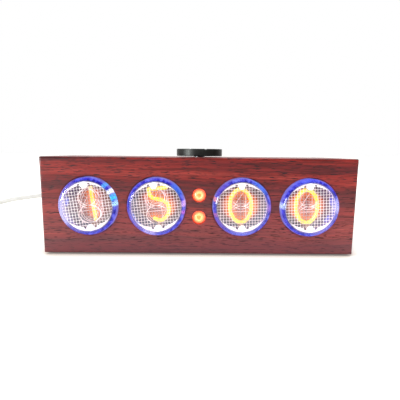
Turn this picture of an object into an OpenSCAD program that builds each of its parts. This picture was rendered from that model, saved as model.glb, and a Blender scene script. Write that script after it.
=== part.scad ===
// Desk clock: four end-on glow digit tubes and two neon colon lamps in a hardwood block,
// with a push-and-turn knob on top and a thin power lead at the back.
// Millimetres. +X right and +Z up seen from the front, which faces -Y.
// The origin is the middle of the base, without the lead.

/* [Case] */
// Height of the wood above and below the digit tubes
tube_margin = 10; // [9:0.25:14]
// Gap in the pocket between the outer tubes and the side walls
pocket_gap = 2.1; // [1:0.1:12]
// Rounding of the block's edges
edge_r = 1; // [0.4:0.1:1.8]
// Thickness of the front wall
front_wall = 8; // [6.5:0.5:9]
// Thickness of the left and right walls
side_wall = 7; // [6:0.25:8]
// Thickness of the top and bottom walls
top_wall = 5; // [4.5:0.25:5.5]
// Radius that the cutter leaves in the pocket's corners
pocket_r = 4; // [2:0.5:6]
// Width of the wooden lip round the back cover
lip_w = 2.2; // [1.6:0.1:2.4]
// Free depth between the control board and the cover
back_space = 4.3; // [4:0.1:12]

/* [Back cover] */
// Thickness of the back cover
cover_t = 2.5; // [2:0.25:3]
// Gap between the cover and the lip
cover_gap = 0.2; // [0.1:0.05:0.4]
// Distance of the cover screws from the block's top and bottom
cover_screw_inset = 11.75; // [9:0.25:15]
// Shank diameter of a cover screw
cover_screw_d = 2.2; // [1.6:0.1:2.4]
// Length of a cover screw
cover_screw_l = 9; // [7:0.5:12]

/* [Feet] */
// Diameter of a rubber foot
foot_d = 9; // [6:0.5:12]
// Thickness of a rubber foot
foot_t = 1; // [0.8:0.1:3]
// Distance of a foot's centre from the block's sides
foot_inset = 10; // [8:0.5:14]

/* [Digit tubes] */
// Outside diameter of a tube's glass
tube_d = 29.5; // [27:0.25:33]
// Length of the glass, from its front to its base
tube_l = 30; // [29:0.5:31]
// How far the glass stands out of the front face
tube_proud = 5; // [3:0.25:6]
// Gap between the glass and its hole in the wood
hole_gap = 0.4; // [0.3:0.05:0.8]
// Width of the bevel round each hole
bevel = 0.3; // [0.2:0.05:0.6]
// Gap between the two tubes of a pair
pair_gap = 5; // [4.5:0.25:8]
// Gap between the two middle tubes, where the colon lamps sit
middle_gap = 13.8; // [13.4:0.1:18]
// Wall thickness of the glass
glass_t = 1.2; // [1:0.1:1.5]
// Radius of the domed front
dome_r = 55; // [45:1:90]
// Radius of the shoulder between the dome and the side
shoulder_r = 3; // [2:0.25:4]
// Thickness of the pressed glass base
stem_t = 3; // [2:0.25:4]
// Number of pins on a base
pins = 12; // [8:1:13]
// Diameter of a pin
pin_d = 1.2; // [1:0.05:1.3]
// Length of a pin below the base
pin_l = 3.6; // [3:0.1:3.8]
// Distance of the pins from the outside of the glass
pin_inset = 4.75; // [4.25:0.25:5.25]

/* [Anode mesh] */
// Gap between the rim of the mesh and the inside of the glass
mesh_side_gap = 1.05; // [0.8:0.05:1.5]
// Spacing of the mesh wires
mesh_pitch = 1.44; // [1.4:0.01:1.8]
// Width of a mesh wire
mesh_wire = 0.28; // [0.25:0.01:0.35]
// Thickness of the mesh plate
mesh_t = 0.25; // [0.2:0.01:0.3]
// Width of the solid rim round the mesh
mesh_rim = 0.4; // [0.35:0.05:0.8]
// Depth of the plain crescents at the top and bottom of the mesh
crescent = 2; // [1.8:0.1:2.5]
// Width of the small slots in the mesh on both sides of a bead
slot_w = 0.7; // [0.5:0.05:0.9]
// Height of those slots
slot_h = 0.8; // [0.6:0.05:1]
// Free space between the mesh and the dome
mesh_gap = 0.5; // [0.45:0.05:0.7]

/* [Cathode stack] */
// Distance of a numeral from the middle of the rods that carry it
digit_drop = 2.2; // [2:0.1:3]
// Width of a numeral as a share of its height
digit_ratio = 0.65; // [0.5:0.01:0.7]
// Width of a stroke
stroke = 0.55; // [0.4:0.05:1]
// Thickness of a numeral plate
plate_t = 0.3; // [0.2:0.05:0.4]
// Spacing of the plates from front to back
plate_pitch = 0.9; // [0.8:0.05:1]
// Gap between the mesh and the first plate
digit_gap = 1.35; // [1.2:0.05:2.5]
// Distance of a support rod's middle from the edge of the mesh
rod_inset = 1.7; // [1.6:0.1:2]
// Diameter of a support rod
rod_d = 1; // [0.8:0.05:1.1]
// Diameter of a ceramic bead on a rod
bead_d = 3.2; // [2.6:0.1:3.2]
// Width of the ring that holds a plate on its rod
eyelet_w = 0.45; // [0.3:0.05:0.6]
// Gap between a plate's ring and its rod
eyelet_gap = 0.05; // [0.02:0.01:0.1]

/* [Tube sockets] */
// Step between the outside of a tube and its smaller socket
socket_inset = 1.25; // [0.5:0.25:2.5]
// Thickness of a socket
socket_t = 4; // [3.9:0.1:5]
// Diameter of the light hole through a socket
light_hole_d = 12; // [9:0.5:13]
// Gap round a pin in its socket
pin_gap = 0.1; // [0.05:0.01:0.2]
// Side of a backlight
light_w = 5; // [3:0.25:6]
// Height of a backlight
light_t = 1.5; // [1:0.1:1.8]

/* [Colon lamps] */
// Diameter of a lamp
lamp_d = 6.6; // [5.5:0.1:7]
// Length of a lamp
lamp_l = 16; // [14:0.5:18]
// Spacing of the two lamps
lamp_pitch = 11.4; // [10.5:0.1:13]
// How far a lamp stays behind the front face
lamp_set_back = 0.3; // [0:0.1:1]
// Gap between a lamp and its hole
lamp_gap = 0.2; // [0.1:0.05:0.4]
// Wall thickness of a lamp's glass
lamp_glass_t = 0.5; // [0.4:0.05:0.7]
// Diameter of a lamp's middle electrode
electrode_d = 1; // [0.6:0.05:1.2]
// Outside diameter of the ring electrode round it
ring_d = 3.8; // [3.2:0.1:4]
// Length of the ring electrode
ring_l = 5; // [3:0.5:7]
// Width of the block that holds both lamps
lamp_block_w = 9.6; // [9:0.2:11]

/* [Boards] */
// Thickness of both circuit boards
board_t = 1.6; // [1.2:0.1:1.8]
// Gap between a board and the wood round it
board_gap = 1.5; // [1:0.1:2.5]
// Distance between the two boards
board_space = 7; // [6.6:0.1:7.5]
// Distance of the pillars from the boards' upper and lower edges
pillar_inset = 2.25; // [2:0.25:3.5]
// Width across the flats of a pillar
pillar_af = 5.5; // [5:0.5:6]
// Diameter of the pillars' screw threads
thread_d = 3; // [2.5:0.5:3]
// Gap round a screw in its hole
screw_gap = 0.1; // [0.05:0.01:0.2]

/* [Knob] */
// Diameter of the knob
knob_d = 25.5; // [22:0.5:30]
// Height of the knob
knob_h = 3.9; // [3.8:0.1:6]
// Gap between the knob and the wood
knob_lift = 0.6; // [0.6:0.05:1.5]
// Depth of the dish in the knob's top
dish_depth = 0.4; // [0.2:0.05:0.5]
// Width of the rim round the dish
dish_rim = 1.6; // [1.2:0.1:2.4]
// How far the knob can be pressed
press = 0.5; // [0.3:0.05:0.5]
// Rounding of the knob's edges
knob_edge = 0.35; // [0.2:0.05:0.6]
// Number of finger notches round the knob
notches = 9; // [6:1:12]
// Width of a notch
notch_w = 1.6; // [1:0.1:2.4]
// Depth of a notch below the rim
notch_depth = 0.6; // [0.5:0.05:0.8]
// Thickness of the knob's top above the shaft
knob_roof = 1.3; // [1.2:0.1:1.6]
// Thickness of the knob's skirt
knob_skirt = 1.8; // [1.6:0.1:2.5]
// Diameter of the hub inside the knob
hub_d = 10; // [8.5:0.25:12]

/* [Encoder] */
// Side of the encoder's square body
encoder_w = 12; // [11:0.25:13]
// Height of the encoder's body
encoder_h = 6.5; // [6:0.25:7]
// Diameter of the shaft
shaft_d = 6; // [5:0.25:6]
// Gap between the shaft and its bush
shaft_gap = 0.04; // [0.02:0.01:0.08]
// Depth of the flat on the shaft
flat_depth = 1.2; // [0.8:0.1:1.5]
// Outside diameter of the threaded bush
bush_d = 7.6; // [7.2:0.1:9]
// Width across the flats of the nut
nut_af = 10.5; // [10:0.5:12]
// Height of the nut
nut_h = 2; // [1.5:0.1:2]
// Diameter of the washer
washer_d = 12; // [11:0.5:13]
// Thickness of the washer
washer_t = 0.5; // [0.3:0.1:0.5]
// Diameter of the recess in the wood that takes the nut
recess_d = 15; // [14:0.5:17]
// Depth of that recess
recess_depth = 2.7; // [2.7:0.05:3]
// Diameter of the turning contact disc
rotor_d = 9; // [8.6:0.1:9.2]
// Thickness of the turning contact disc
rotor_t = 1.6; // [1.2:0.1:1.8]
// Running gap between the contact disc and the body
rotor_gap = 0.3; // [0.2:0.05:0.4]
// Height of the click dome under the shaft
click_h = 0.4; // [0.3:0.05:0.5]

/* [Power lead] */
// Distance of the power socket from the block's side, on the left seen from the front
power_inset = 18; // [16:0.5:26]
// How far the power socket sits below the middle of the block
power_drop = 1.75; // [-2:0.25:4]
// Width of the power socket's shell
shell_w = 9.2; // [8.8:0.1:10]
// Height of the power socket's shell
shell_h = 3.4; // [3.2:0.1:3.8]
// Sheet thickness of the power socket's shell
shell_t = 0.3; // [0.25:0.05:0.35]
// Gap between the plug's shell and the socket's
plug_gap = 0.15; // [0.1:0.01:0.2]
// Diameter of the lead
cord_d = 3.2; // [2.8:0.1:3.4]
// Width of the plug's grip
grip_w = 11.6; // [11:0.2:14]
// Height of the plug's grip
grip_h = 6.4; // [6:0.2:8]
// Length of the plug's grip
grip_l = 15; // [13:0.5:15.5]
// Length of the tapered sleeve behind the grip
sleeve_l = 8.2; // [7:0.1:9]
// Width of the supply plug's grip
supply_w = 15.6; // [14:0.2:18]
// Height of the supply plug's grip
supply_h = 8; // [7:0.2:8.4]
// Length of the supply plug's grip
supply_l = 24; // [20:1:30]

/* [Hidden] */
$fn = 64;
cut = 1;                 // how far a cutting tool runs past the face that it opens

// The block is as large as what it houses
pair_pitch = tube_d + pair_gap;
middle_pitch = tube_d + middle_gap;
case_w = 2 * (side_wall + pocket_gap + pair_pitch) + tube_d + middle_pitch;
case_h = tube_d + 2 * tube_margin;
case_d = tube_l - tube_proud + socket_t + 2 * board_t + board_space + back_space + cover_t;

// Places in depth, front to back
total_d = case_d + tube_proud;
apex_y = -total_d / 2;
front_y = apex_y + tube_proud;
back_y = total_d / 2;
mid_y = (front_y + back_y) / 2;
pocket_y = front_y + front_wall;
tube_back_y = apex_y + tube_l;
display_y = tube_back_y + socket_t;
display_back_y = display_y + board_t;
control_y = display_back_y + board_space;
control_back_y = control_y + board_t;
cover_y = back_y - cover_t;

// Places in height
top_z = foot_t + case_h;
mid_z = foot_t + case_h / 2;
ceiling_z = top_z - top_wall;
web_z = top_z - recess_depth;

// Tubes
tube_xs = [-middle_pitch / 2 - pair_pitch, -middle_pitch / 2, middle_pitch / 2,
           middle_pitch / 2 + pair_pitch];
tube_turns = [7, 6, 2, 3];   // how far each tube sits turned about its own axis, in degrees
tube_r = tube_d / 2;
hole_r = tube_r + hole_gap;
inner_r = tube_r - glass_t;
stem_gap = 0.05;         // sealing gap round the pressed base
stem_y = tube_back_y - stem_t;
inner_dome_r = dome_r - glass_t;
mesh_r = inner_r - mesh_side_gap;
rod_span = 2 * (mesh_r - rod_inset);
pin_ring_r = tube_r - pin_inset;
mesh_sag = inner_dome_r - sqrt(inner_dome_r * inner_dome_r - mesh_r * mesh_r);
mesh_y = apex_y + glass_t + mesh_sag + mesh_gap;
first_plate_y = mesh_y + mesh_t + digit_gap;
plate_order = [3, 8, 9, 4, 6, 0, 5, 7, 2, 1];
pip_r = 2;               // sealed tip of the exhaust tube in the middle of the base
pip_l = 2;

// Lamps
lamp_zs = [mid_z + lamp_pitch / 2, mid_z - lamp_pitch / 2];
lamp_y = front_y + lamp_set_back;
lamp_foot = 2;           // solid glass foot of a lamp
lamp_seat = 3;           // depth to which a lamp sits in its block
lamp_block_h = lamp_pitch + lamp_d + 1.4;
lamp_block_y = lamp_y + lamp_l - lamp_seat;

// Boards
board_w = case_w - 2 * side_wall - 2 * board_gap;
board_h = case_h - 2 * top_wall - 2 * board_gap;
board_corner_r = max(pocket_r - board_gap, 0.5);
thread_r = thread_d / 2;
thread_l = 4.4;          // engaged length of each thread
pillar_x = (middle_pitch + pair_pitch) / 2;
pillar_rise = board_h / 2 - pillar_inset;
pillar_xs = [-pillar_x, pillar_x];
pillar_zs = [mid_z - pillar_rise, mid_z + pillar_rise];

// Knob and encoder
encoder_bottom_z = ceiling_z - encoder_h;
rotor_top_z = ceiling_z - 2 - rotor_gap;
encoder_cavity_h = encoder_h - 2;
bush_top_z = web_z + washer_t + nut_h;
shaft_r = shaft_d / 2;
bush_bore_r = shaft_r + shaft_gap;
click_z = encoder_bottom_z + click_h;
shaft_bottom_z = click_z + press + 0.4;
knob_z = top_z + knob_lift;
key_gap = 0.03;          // fit of the knob and the contact disc on the shaft's flat
shaft_top_z = knob_z + knob_h - knob_roof;
encoder_board_w = encoder_w + 1;
encoder_board_z = encoder_bottom_z - board_t;
notch_clear = 1;         // gap between the encoder and the notch in the display board
ribbon_t = 0.8;
ribbon_w = 7;

// Power lead
socket_x = power_inset - case_w / 2;
socket_z = mid_z - power_drop;
mouth_y = back_y - 0.2;
plug_shell_w = shell_w - 2 * shell_t - 2 * plug_gap;
plug_shell_h = shell_h - 2 * shell_t - 2 * plug_gap;
grip_y = back_y + 0.3;
sleeve_y = grip_y + grip_l;
cord_start_y = sleeve_y + sleeve_l;
cord_r = cord_d / 2;
cord_z = cord_r + 0.1;   // height of the lead's middle where it lies on the table

// Route of the lead from its sleeve to the coil, chosen by hand: how far left and back, and the
// share of the socket's height that is left
run_steps = [
    [0, 0, 1], [0, 4, 1], [-1, 9, 1], [-4, 13.5, 0.996], [-8.5, 16.8, 0.987], [-14, 18.5, 0.973],
    [-22, 19.2, 0.946], [-32, 19.2, 0.91], [-42, 18.8, 0.865], [-52, 18.2, 0.816], [-62, 17.6, 0.762],
    [-72, 17, 0.7], [-82, 16.4, 0.623], [-91, 15.8, 0.52], [-99, 15.2, 0.399], [-107, 14.5, 0.265],
    [-115, 13.9, 0.139], [-123, 13.4, 0.045], [-131, 13.1, 0.005], [-138, 13, 0], [-142, 13, 0],
];
run_points = [for (p = run_steps)
    [socket_x + p.x, cord_start_y + p.y, cord_z + (socket_z - cord_z) * p.z]];

// The coil: one unbroken winding in two layers
turns_in = 3.5;
turns_over = 0.5;
turns_out = 3.5;
turn_pitch = cord_d + 0.6;
layer_pitch = turn_pitch;
climb_dip = 0.6;         // how far the climbing half turn draws in, clear of its neighbours
coil_outer_r = 24.6;
coil_inner_r = coil_outer_r - turns_in * turn_pitch;
coil_x = run_points[len(run_points) - 1].x - cord_d;
coil_y = run_points[len(run_points) - 1].y - coil_outer_r;
rings_per_turn = 24;
coil_sides = 6;
run_sides = 8;
tail_l = 16;             // run from the coil down to the supply plug
tail_steps = 5;
supply_z = supply_h / 2;
supply_sleeve_l = 10;
supply_shell_w = 12;
supply_shell_h = 4.5;
supply_shell_l = 12;
tail_end = [coil_x + tail_l + cord_d, coil_y - coil_outer_r, supply_z];

// ---------- shared shapes ----------

// Rectangle with round corners, about its middle
module rounded(w, h, r) {
    square([w - 2 * r, h], center = true);
    square([w, h - 2 * r], center = true);
    for (x = [-1, 1], y = [-1, 1]) translate([x * (w / 2 - r), y * (h / 2 - r)]) circle(r);
}

// Anything flat, drawn in X and Z, standing up and l thick from y towards the back
module upright(y, l) {
    translate([0, y + l, 0]) rotate([90, 0, 0]) linear_extrude(l) children();
}

// A round piece drawn along +Z, laid so that its top points to the front
module facing_front(x, y, z) {
    translate([x, y, z]) rotate([90, 0, 0]) children();
}

// What a tube carries, about the tube's axis and with the tube's own small turn
module in_tube(i) {
    translate([tube_xs[i], 0, mid_z]) rotate([0, -tube_turns[i], 0]) children();
}

// A round bar along Y from y to the back
module bar_y(x, y, z, r, l) {
    facing_front(x, y + l, z) cylinder(r = r, h = l);
}

// Block with every edge rounded: three rounded prisms cut each other
module eased_block(w, d, h, r) {
    intersection() {
        rotate([90, 0, 0]) linear_extrude(d, center = true) rounded(w, h, r);
        linear_extrude(h, center = true) rounded(w, d, r);
        rotate([90, 0, 90]) linear_extrude(w, center = true) rounded(d, h, r);
    }
}

// Shaft section with one flat
module keyed(r, flat) {
    difference() {
        circle(r);
        translate([-r, r - flat]) square([2 * r, 2 * r]);
    }
}

// ---------- strokes of the numerals ----------

function arc(cx, cy, rx, ry, from, to, n = 16) =
    [for (i = [0:n]) let(t = from + (to - from) * i / n) [cx + rx * cos(t), cy + ry * sin(t)]];

function unit(v) = v / norm(v);

// Direction of a line of points at point i, flat or in space
function heading(p, i) = unit(p[min(i + 1, len(p) - 1)] - p[max(i - 1, 0)]);

// Outline of a stroke of width w along a smooth line of points
function stroke_outline(p, w) = concat(
    [for (i = [0:len(p) - 1]) let(t = heading(p, i)) p[i] + w / 2 * [-t.y, t.x]],
    [for (i = [len(p) - 1:-1:0]) let(t = heading(p, i)) p[i] - w / 2 * [-t.y, t.x]]);

module curve(p) {
    polygon(stroke_outline(p, stroke));
}

// Straight stroke with round ends
module line(a, b) {
    curve([a, b]);
    for (p = [a, b]) translate(p) circle(d = stroke);
}

// Closed oval stroke
module oval(cy, rx, ry) {
    difference() {
        polygon(arc(0, cy, rx + stroke / 2, ry + stroke / 2, 0, 345, 23));
        polygon(arc(0, cy, rx - stroke / 2, ry - stroke / 2, 0, 345, 23));
    }
}

// Half the width and half the height of a numeral
b = rod_span / 2 - digit_drop;
a = b * digit_ratio;

module two() {
    curve(concat(arc(0, b - a, a, a, 165, -50), [[-a, -b]]));
    line([-a, -b], [a, -b]);
}

module six() {
    oval(-b * 0.43, a * 0.97, b * 0.57);
    curve(arc(a * 0.9, -b * 0.43, a * 1.87, b * 1.6, 180, 117));
}

module numeral(n) {
    if (n == 0) oval(0, a, b);
    if (n == 1) line([0, -b], [0, b]);
    if (n == 2) two();
    if (n == 3) {
        curve(arc(0, b * 0.52, a * 0.85, b * 0.48, 150, -90));
        curve(arc(0, -b * 0.48, a, b * 0.52, 90, -150));
    }
    if (n == 4) {
        line([a * 0.4, -b], [a * 0.4, b]);
        line([a * 0.4, b], [-a, -b * 0.3]);
        line([-a, -b * 0.3], [a, -b * 0.3]);
    }
    if (n == 5) mirror([0, 1]) two();
    if (n == 6) six();
    if (n == 7) {
        line([-a, b], [a, b]);
        line([a, b], [-a * 0.2, -b]);
    }
    if (n == 8) {
        oval(b * 0.52, a * 0.8, b * 0.48);
        oval(-b * 0.48, a, b * 0.52);
    }
    if (n == 9) rotate(180) six();
}

// X of the points where a numeral's upper and lower links join it
upper_link_x = [0, 0, 0, 0, a * 0.4, 0, a * 0.05, 0, 0, 0];
lower_link_x = [0, 0, 0, 0, a * 0.4, 0, 0, -a * 0.2, 0, -a * 0.05];

// One numeral plate with its links and the rings that slip over the rods
module plate(n) {
    ring_r = rod_d / 2 + eyelet_gap;
    difference() {
        union() {
            numeral(n);
            curve([[0, rod_span / 2], [upper_link_x[n], b]]);
            curve([[0, -rod_span / 2], [lower_link_x[n], -b]]);
            for (s = [-1, 1]) translate([0, s * rod_span / 2]) circle(ring_r + eyelet_w);
        }
        for (s = [-1, 1]) translate([0, s * rod_span / 2]) circle(ring_r);
    }
}

// ---------- case ----------

module case() color("#93393a") {
    hole_cut_l = front_wall + 2 * cut;
    difference() {
        translate([0, mid_y, mid_z]) eased_block(case_w, case_d, case_h, edge_r);
        // pocket for the boards and the rebate for the cover
        translate([0, 0, mid_z]) {
            upright(pocket_y, case_d) rounded(case_w - 2 * side_wall, case_h - 2 * top_wall, pocket_r);
            upright(cover_y, case_d) rounded(case_w - 2 * lip_w, case_h - 2 * lip_w, pocket_r);
        }
        // bevelled holes for the tubes and the lamps
        for (x = tube_xs) {
            bar_y(x, front_y - cut, mid_z, hole_r, hole_cut_l);
            facing_front(x, front_y + bevel, mid_z)
                cylinder(r1 = hole_r, r2 = hole_r + 2 * bevel, h = 2 * bevel);
        }
        for (z = lamp_zs) bar_y(0, front_y - cut, z, lamp_d / 2 + lamp_gap, hole_cut_l);
        // recess for the encoder's nut and bore for its bush
        translate([0, mid_y, web_z]) cylinder(d = recess_d, h = recess_depth + cut);
        translate([0, mid_y, ceiling_z - cut]) cylinder(r = bush_d / 2 + screw_gap, h = top_wall + 2 * cut);
        // threads of the pillars and of the cover screws
        for (x = pillar_xs, z = pillar_zs)
            bar_y(x, pocket_y - thread_l, z, thread_r + screw_gap, thread_l + cut);
        for (x = cover_screw_xs, z = cover_screw_zs)
            bar_y(x, cover_y - cover_screw_l, z, cover_screw_d / 2 + screw_gap, cover_screw_l + cut);
    }
}

module back_cover() color("#1b1b1d") {
    difference() {
        translate([0, 0, mid_z]) upright(cover_y, cover_t)
            rounded(case_w - 2 * lip_w - 2 * cover_gap, case_h - 2 * lip_w - 2 * cover_gap,
                    pocket_r - cover_gap);
        // opening for the power socket
        translate([socket_x, 0, socket_z]) upright(cover_y - cut, cover_t + 2 * cut)
            rounded(shell_w + 0.6, shell_h + 0.6, shell_h / 2 + 0.2);
        for (x = cover_screw_xs, z = cover_screw_zs) {
            bar_y(x, cover_y - cut, z, cover_screw_d / 2 + screw_gap, cover_t + 2 * cut);
            translate([x, back_y, z]) rotate([90, 0, 0])
                cylinder(r1 = cover_head_r + screw_gap, r2 = cover_screw_d / 2 + screw_gap,
                         h = cover_head_h);
        }
    }
}

cover_screw_xs = [-(case_w - side_wall - lip_w) / 2, (case_w - side_wall - lip_w) / 2];
cover_screw_zs = [foot_t + cover_screw_inset, top_z - cover_screw_inset];
cover_head_r = cover_screw_d / 2 + 0.8;
cover_head_h = 1.2;

// Countersunk screws with a cross recess
module cover_screws() color("#b9bcc0") {
    for (x = cover_screw_xs, z = cover_screw_zs) translate([x, back_y, z]) rotate([90, 0, 0]) difference() {
        union() {
            cylinder(r1 = cover_head_r, r2 = cover_screw_d / 2, h = cover_head_h);
            cylinder(d = cover_screw_d, h = cover_screw_l);
        }
        for (turn = [0, 90]) rotate(turn) cube([cover_head_r * 1.3, 0.45, 1.4], center = true);
    }
}

module feet() color("#262628") {
    for (x = [-1, 1], y = [-1, 1])
        translate([x * (case_w / 2 - foot_inset), mid_y + y * (case_d / 2 - foot_inset), 0])
            cylinder(d1 = foot_d, d2 = foot_d - 0.6, h = foot_t);
}

// ---------- boards ----------

module board_outline() {
    difference() {
        rounded(board_w, board_h, board_corner_r);
        for (x = pillar_xs, z = [-pillar_rise, pillar_rise])
            translate([x, z]) circle(thread_r + screw_gap);
    }
}

// Board behind the tubes, with a notch for the encoder
module display_board() color("#1f5a3a") {
    slot_w = encoder_board_w + 2 * notch_clear;
    slot_z = encoder_board_z - notch_clear;
    translate([0, 0, mid_z]) upright(display_y, board_t) difference() {
        board_outline();
        translate([-slot_w / 2, slot_z - mid_z]) square([slot_w, board_h]);
    }
}

module control_board() color("#1f5a3a") {
    translate([0, 0, mid_z]) upright(control_y, board_t) board_outline();
}

// Hexagonal pillars between the front wall and the display board, each with a thread into the wood
module board_pillars() color("#c9a646") {
    for (x = pillar_xs, z = pillar_zs) difference() {
        union() {
            facing_front(x, display_y, z)
                cylinder(d = pillar_af / cos(30), h = display_y - pocket_y, $fn = 6);
            bar_y(x, pocket_y - thread_l + 0.2, z, thread_r, thread_l);
        }
        bar_y(x, display_y - thread_l - 1, z, thread_r + screw_gap, thread_l + 2);
    }
}

// Hexagonal spacers between the boards, each with a thread through the display board
module board_spacers() color("#c9a646") {
    for (x = pillar_xs, z = pillar_zs) difference() {
        union() {
            facing_front(x, control_y, z)
                cylinder(d = pillar_af / cos(30), h = board_space, $fn = 6);
            bar_y(x, display_y - thread_l, z, thread_r, thread_l + board_t + 0.2);
        }
        bar_y(x, control_y - thread_l - 0.5, z, thread_r + screw_gap, thread_l + cut + 0.5);
    }
}

// Pan head screws behind the control board
module board_screws() color("#b9bcc0") {
    head_r = thread_d * 0.9;
    head_h = thread_d * 0.55;
    for (x = pillar_xs, z = pillar_zs) difference() {
        union() {
            facing_front(x, control_back_y + head_h, z) rotate_extrude() intersection() {
                square([head_r, head_h]);
                translate([0, head_r * 1.6]) circle(head_r * 1.6);
            }
            bar_y(x, control_y - thread_l, z, thread_r, thread_l + board_t + 0.2);
        }
        for (turn = [0, 90]) translate([x, control_back_y + head_h, z]) rotate([0, turn, 0])
            cube([head_r * 1.2, head_h, 0.6], center = true);
    }
}

// Pin header and its socket strip, which join the boards
link_pins = 10;
link_pitch = 2.54;
link_z = -10;            // below the middle of the boards
module board_link() color("#202022") {
    strip_w = link_pins * link_pitch;
    half = board_space / 2;
    translate([0, 0, mid_z + link_z]) {
        upright(display_back_y, half) square([strip_w, link_pitch], center = true);
        upright(display_back_y + half, half) square([strip_w - 0.4, link_pitch - 0.3], center = true);
    }
}

// ---------- digit tubes ----------

// Half section of a domed tube of radius r and length l, from its axis. The shoulder is an arc
// that runs smoothly into the dome and into the side.
module tube_section(r, l, dome, shoulder) {
    shoulder_x = r - shoulder;
    shoulder_z = l - dome + sqrt((dome - shoulder) * (dome - shoulder) - shoulder_x * shoulder_x);
    square([r, shoulder_z]);
    intersection() {
        translate([shoulder_x, shoulder_z]) circle(shoulder);
        square([r, l]);
    }
    intersection() {
        translate([0, l - dome]) circle(dome);
        square([shoulder_x * dome / (dome - shoulder), l]);
    }
}

// Glass of tube i, open at the back where the pressed base closes it
module tube_glass(i) color("#dfe8ee", 0.35) {
    facing_front(tube_xs[i], tube_back_y, mid_z) rotate_extrude() difference() {
        tube_section(tube_r, tube_l, dome_r, shoulder_r);
        tube_section(inner_r, tube_l - glass_t, inner_dome_r, shoulder_r - glass_t);
    }
}

// Pressed glass base with its pins and the sealed tip
module tube_base(i) color("#c7d2d6") {
    in_tube(i) facing_front(0, tube_back_y, 0) {
        cylinder(r = inner_r - stem_gap, h = stem_t);
        translate([0, 0, -pip_l]) cylinder(r1 = pip_r * 0.4, r2 = pip_r, h = pip_l + 0.1);
        for (k = [0:pins - 1]) rotate(360 * (k + 0.5) / pins) translate([pin_ring_r, 0, -pin_l])
            cylinder(d = pin_d, h = pin_l + 0.2);
    }
}

// Middle of every open cell of the mesh, clear of its rim and its two crescents
mesh_n = ceil(mesh_r / mesh_pitch);
cell_half = (mesh_pitch - mesh_wire) / 2;
cells = [for (u = [-mesh_n:mesh_n], v = [-mesh_n:mesh_n])
    let(far_u = abs(u) * mesh_pitch + cell_half, far_v = abs(v) * mesh_pitch + cell_half)
    if (norm([far_u, far_v]) < mesh_r - mesh_rim
        && norm([far_u / (mesh_r + crescent), far_v / (mesh_r - crescent)]) < 1)
        [u * mesh_pitch, v * mesh_pitch]];

// Front electrode: square mesh in a rim, with a plain crescent at the top and the bottom
module anode_mesh(i) color("#d9d4d6") {
    in_tube(i) upright(mesh_y, mesh_t) difference() {
        circle(mesh_r);
        for (c = cells) translate(c) square(2 * cell_half, center = true);
        for (s = [-1, 1]) translate([0, s * rod_span / 2]) circle(rod_d / 2 + eyelet_gap);
        for (s = [-1, 1], side = [-1, 1])
            translate([side * (bead_d + slot_w) / 2, s * (mesh_r - crescent - slot_h / 4)])
                square([slot_w, slot_h], center = true);
    }
}

// Half section of a rod with its ceramic beads, from the bead in front of the mesh to the base
function bead_steps() = concat(
    [[0, 0], [bead_d * 0.4, 0], [bead_d / 2, rod_nose / 3], [bead_d / 2, rod_nose],
     [rod_d / 2, rod_nose], [rod_d / 2, mesh_t + rod_nose]],
    [for (k = [0:len(plate_order) - 1]) each let(front = plate_front(k), back = front + plate_t) [
        [bead_d / 2, k == 0 ? mesh_t + rod_nose : plate_front(k - 1) + plate_t],
        [bead_d / 2, front], [rod_d / 2, front], [rod_d / 2, back]]],
    [[bead_d / 2, plate_front(len(plate_order) - 1) + plate_t],
     [bead_d / 2, plate_front(len(plate_order) - 1) + plate_t + 2 * plate_pitch],
     [rod_d / 2, plate_front(len(plate_order) - 1) + plate_t + 2 * plate_pitch],
     [rod_d / 2, rod_l], [0, rod_l]]);
rod_nose = 0.35;         // thickness of the bead in front of the mesh
rod_y = mesh_y - rod_nose;
rod_l = stem_y - rod_y;
function plate_front(k) = first_plate_y - rod_y + k * plate_pitch;

module support_rods(i) color("#eeeae2") {
    in_tube(i) for (s = [-1, 1]) translate([0, rod_y, s * rod_span / 2]) rotate([-90, 0, 0])
        rotate_extrude($fn = 24) polygon(bead_steps());
}

// The ten numerals of tube i, one plate behind another on the rods
module digit_stack(i) color("#c9a79b") {
    in_tube(i) for (k = [0:len(plate_order) - 1])
        upright(first_plate_y + k * plate_pitch, plate_t) plate(plate_order[k]);
}

module tube_socket(i) color("#2b2a2c") {
    in_tube(i) facing_front(0, display_y, 0) linear_extrude(socket_t) difference() {
        circle(tube_r - socket_inset);
        circle(d = light_hole_d);
        for (k = [0:pins - 1]) rotate(360 * (k + 0.5) / pins) translate([pin_ring_r, 0])
            circle(pin_d / 2 + pin_gap);
    }
}

// Backlights on the display board, one behind each tube
module backlights() color("#f2f2ff") {
    for (x = tube_xs) translate([x, 0, mid_z]) {
        upright(display_y - light_t, light_t) rounded(light_w, light_w, 0.4);
    }
}

// ---------- colon lamps ----------

module lamp(z) color("#ff9a4a", 0.6) {
    r = lamp_d / 2;
    dome = r * 1.3;
    shoulder = r * 0.6;
    facing_front(0, lamp_y + lamp_l, z) rotate_extrude() difference() {
        tube_section(r, lamp_l, dome, shoulder);
        translate([0, lamp_foot]) tube_section(r - lamp_glass_t, lamp_l - lamp_foot - lamp_glass_t,
                                               dome - lamp_glass_t, shoulder - lamp_glass_t);
    }
}

// Ring and middle electrode of each lamp, on wires that stand in its foot
module lamp_electrodes() color("#b7b2ac") {
    foot_y = lamp_y + lamp_l - lamp_foot;
    ring_y = lamp_y + lamp_glass_t + 1;
    ring_t = 0.5;
    wire_x = (ring_d - ring_t) / 2;
    wire_r = 0.4 * ring_t;
    for (z = lamp_zs) {
        translate([0, 0, z]) upright(ring_y, ring_l) difference() {
            circle(d = ring_d);
            circle(d = ring_d - 2 * ring_t);
        }
        for (s = [-1, 1]) bar_y(s * wire_x, ring_y + ring_l, z, wire_r, foot_y - ring_y - ring_l);
        bar_y(0, ring_y + 0.8, z, electrode_d / 2, foot_y - ring_y - 0.8);
    }
}

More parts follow.
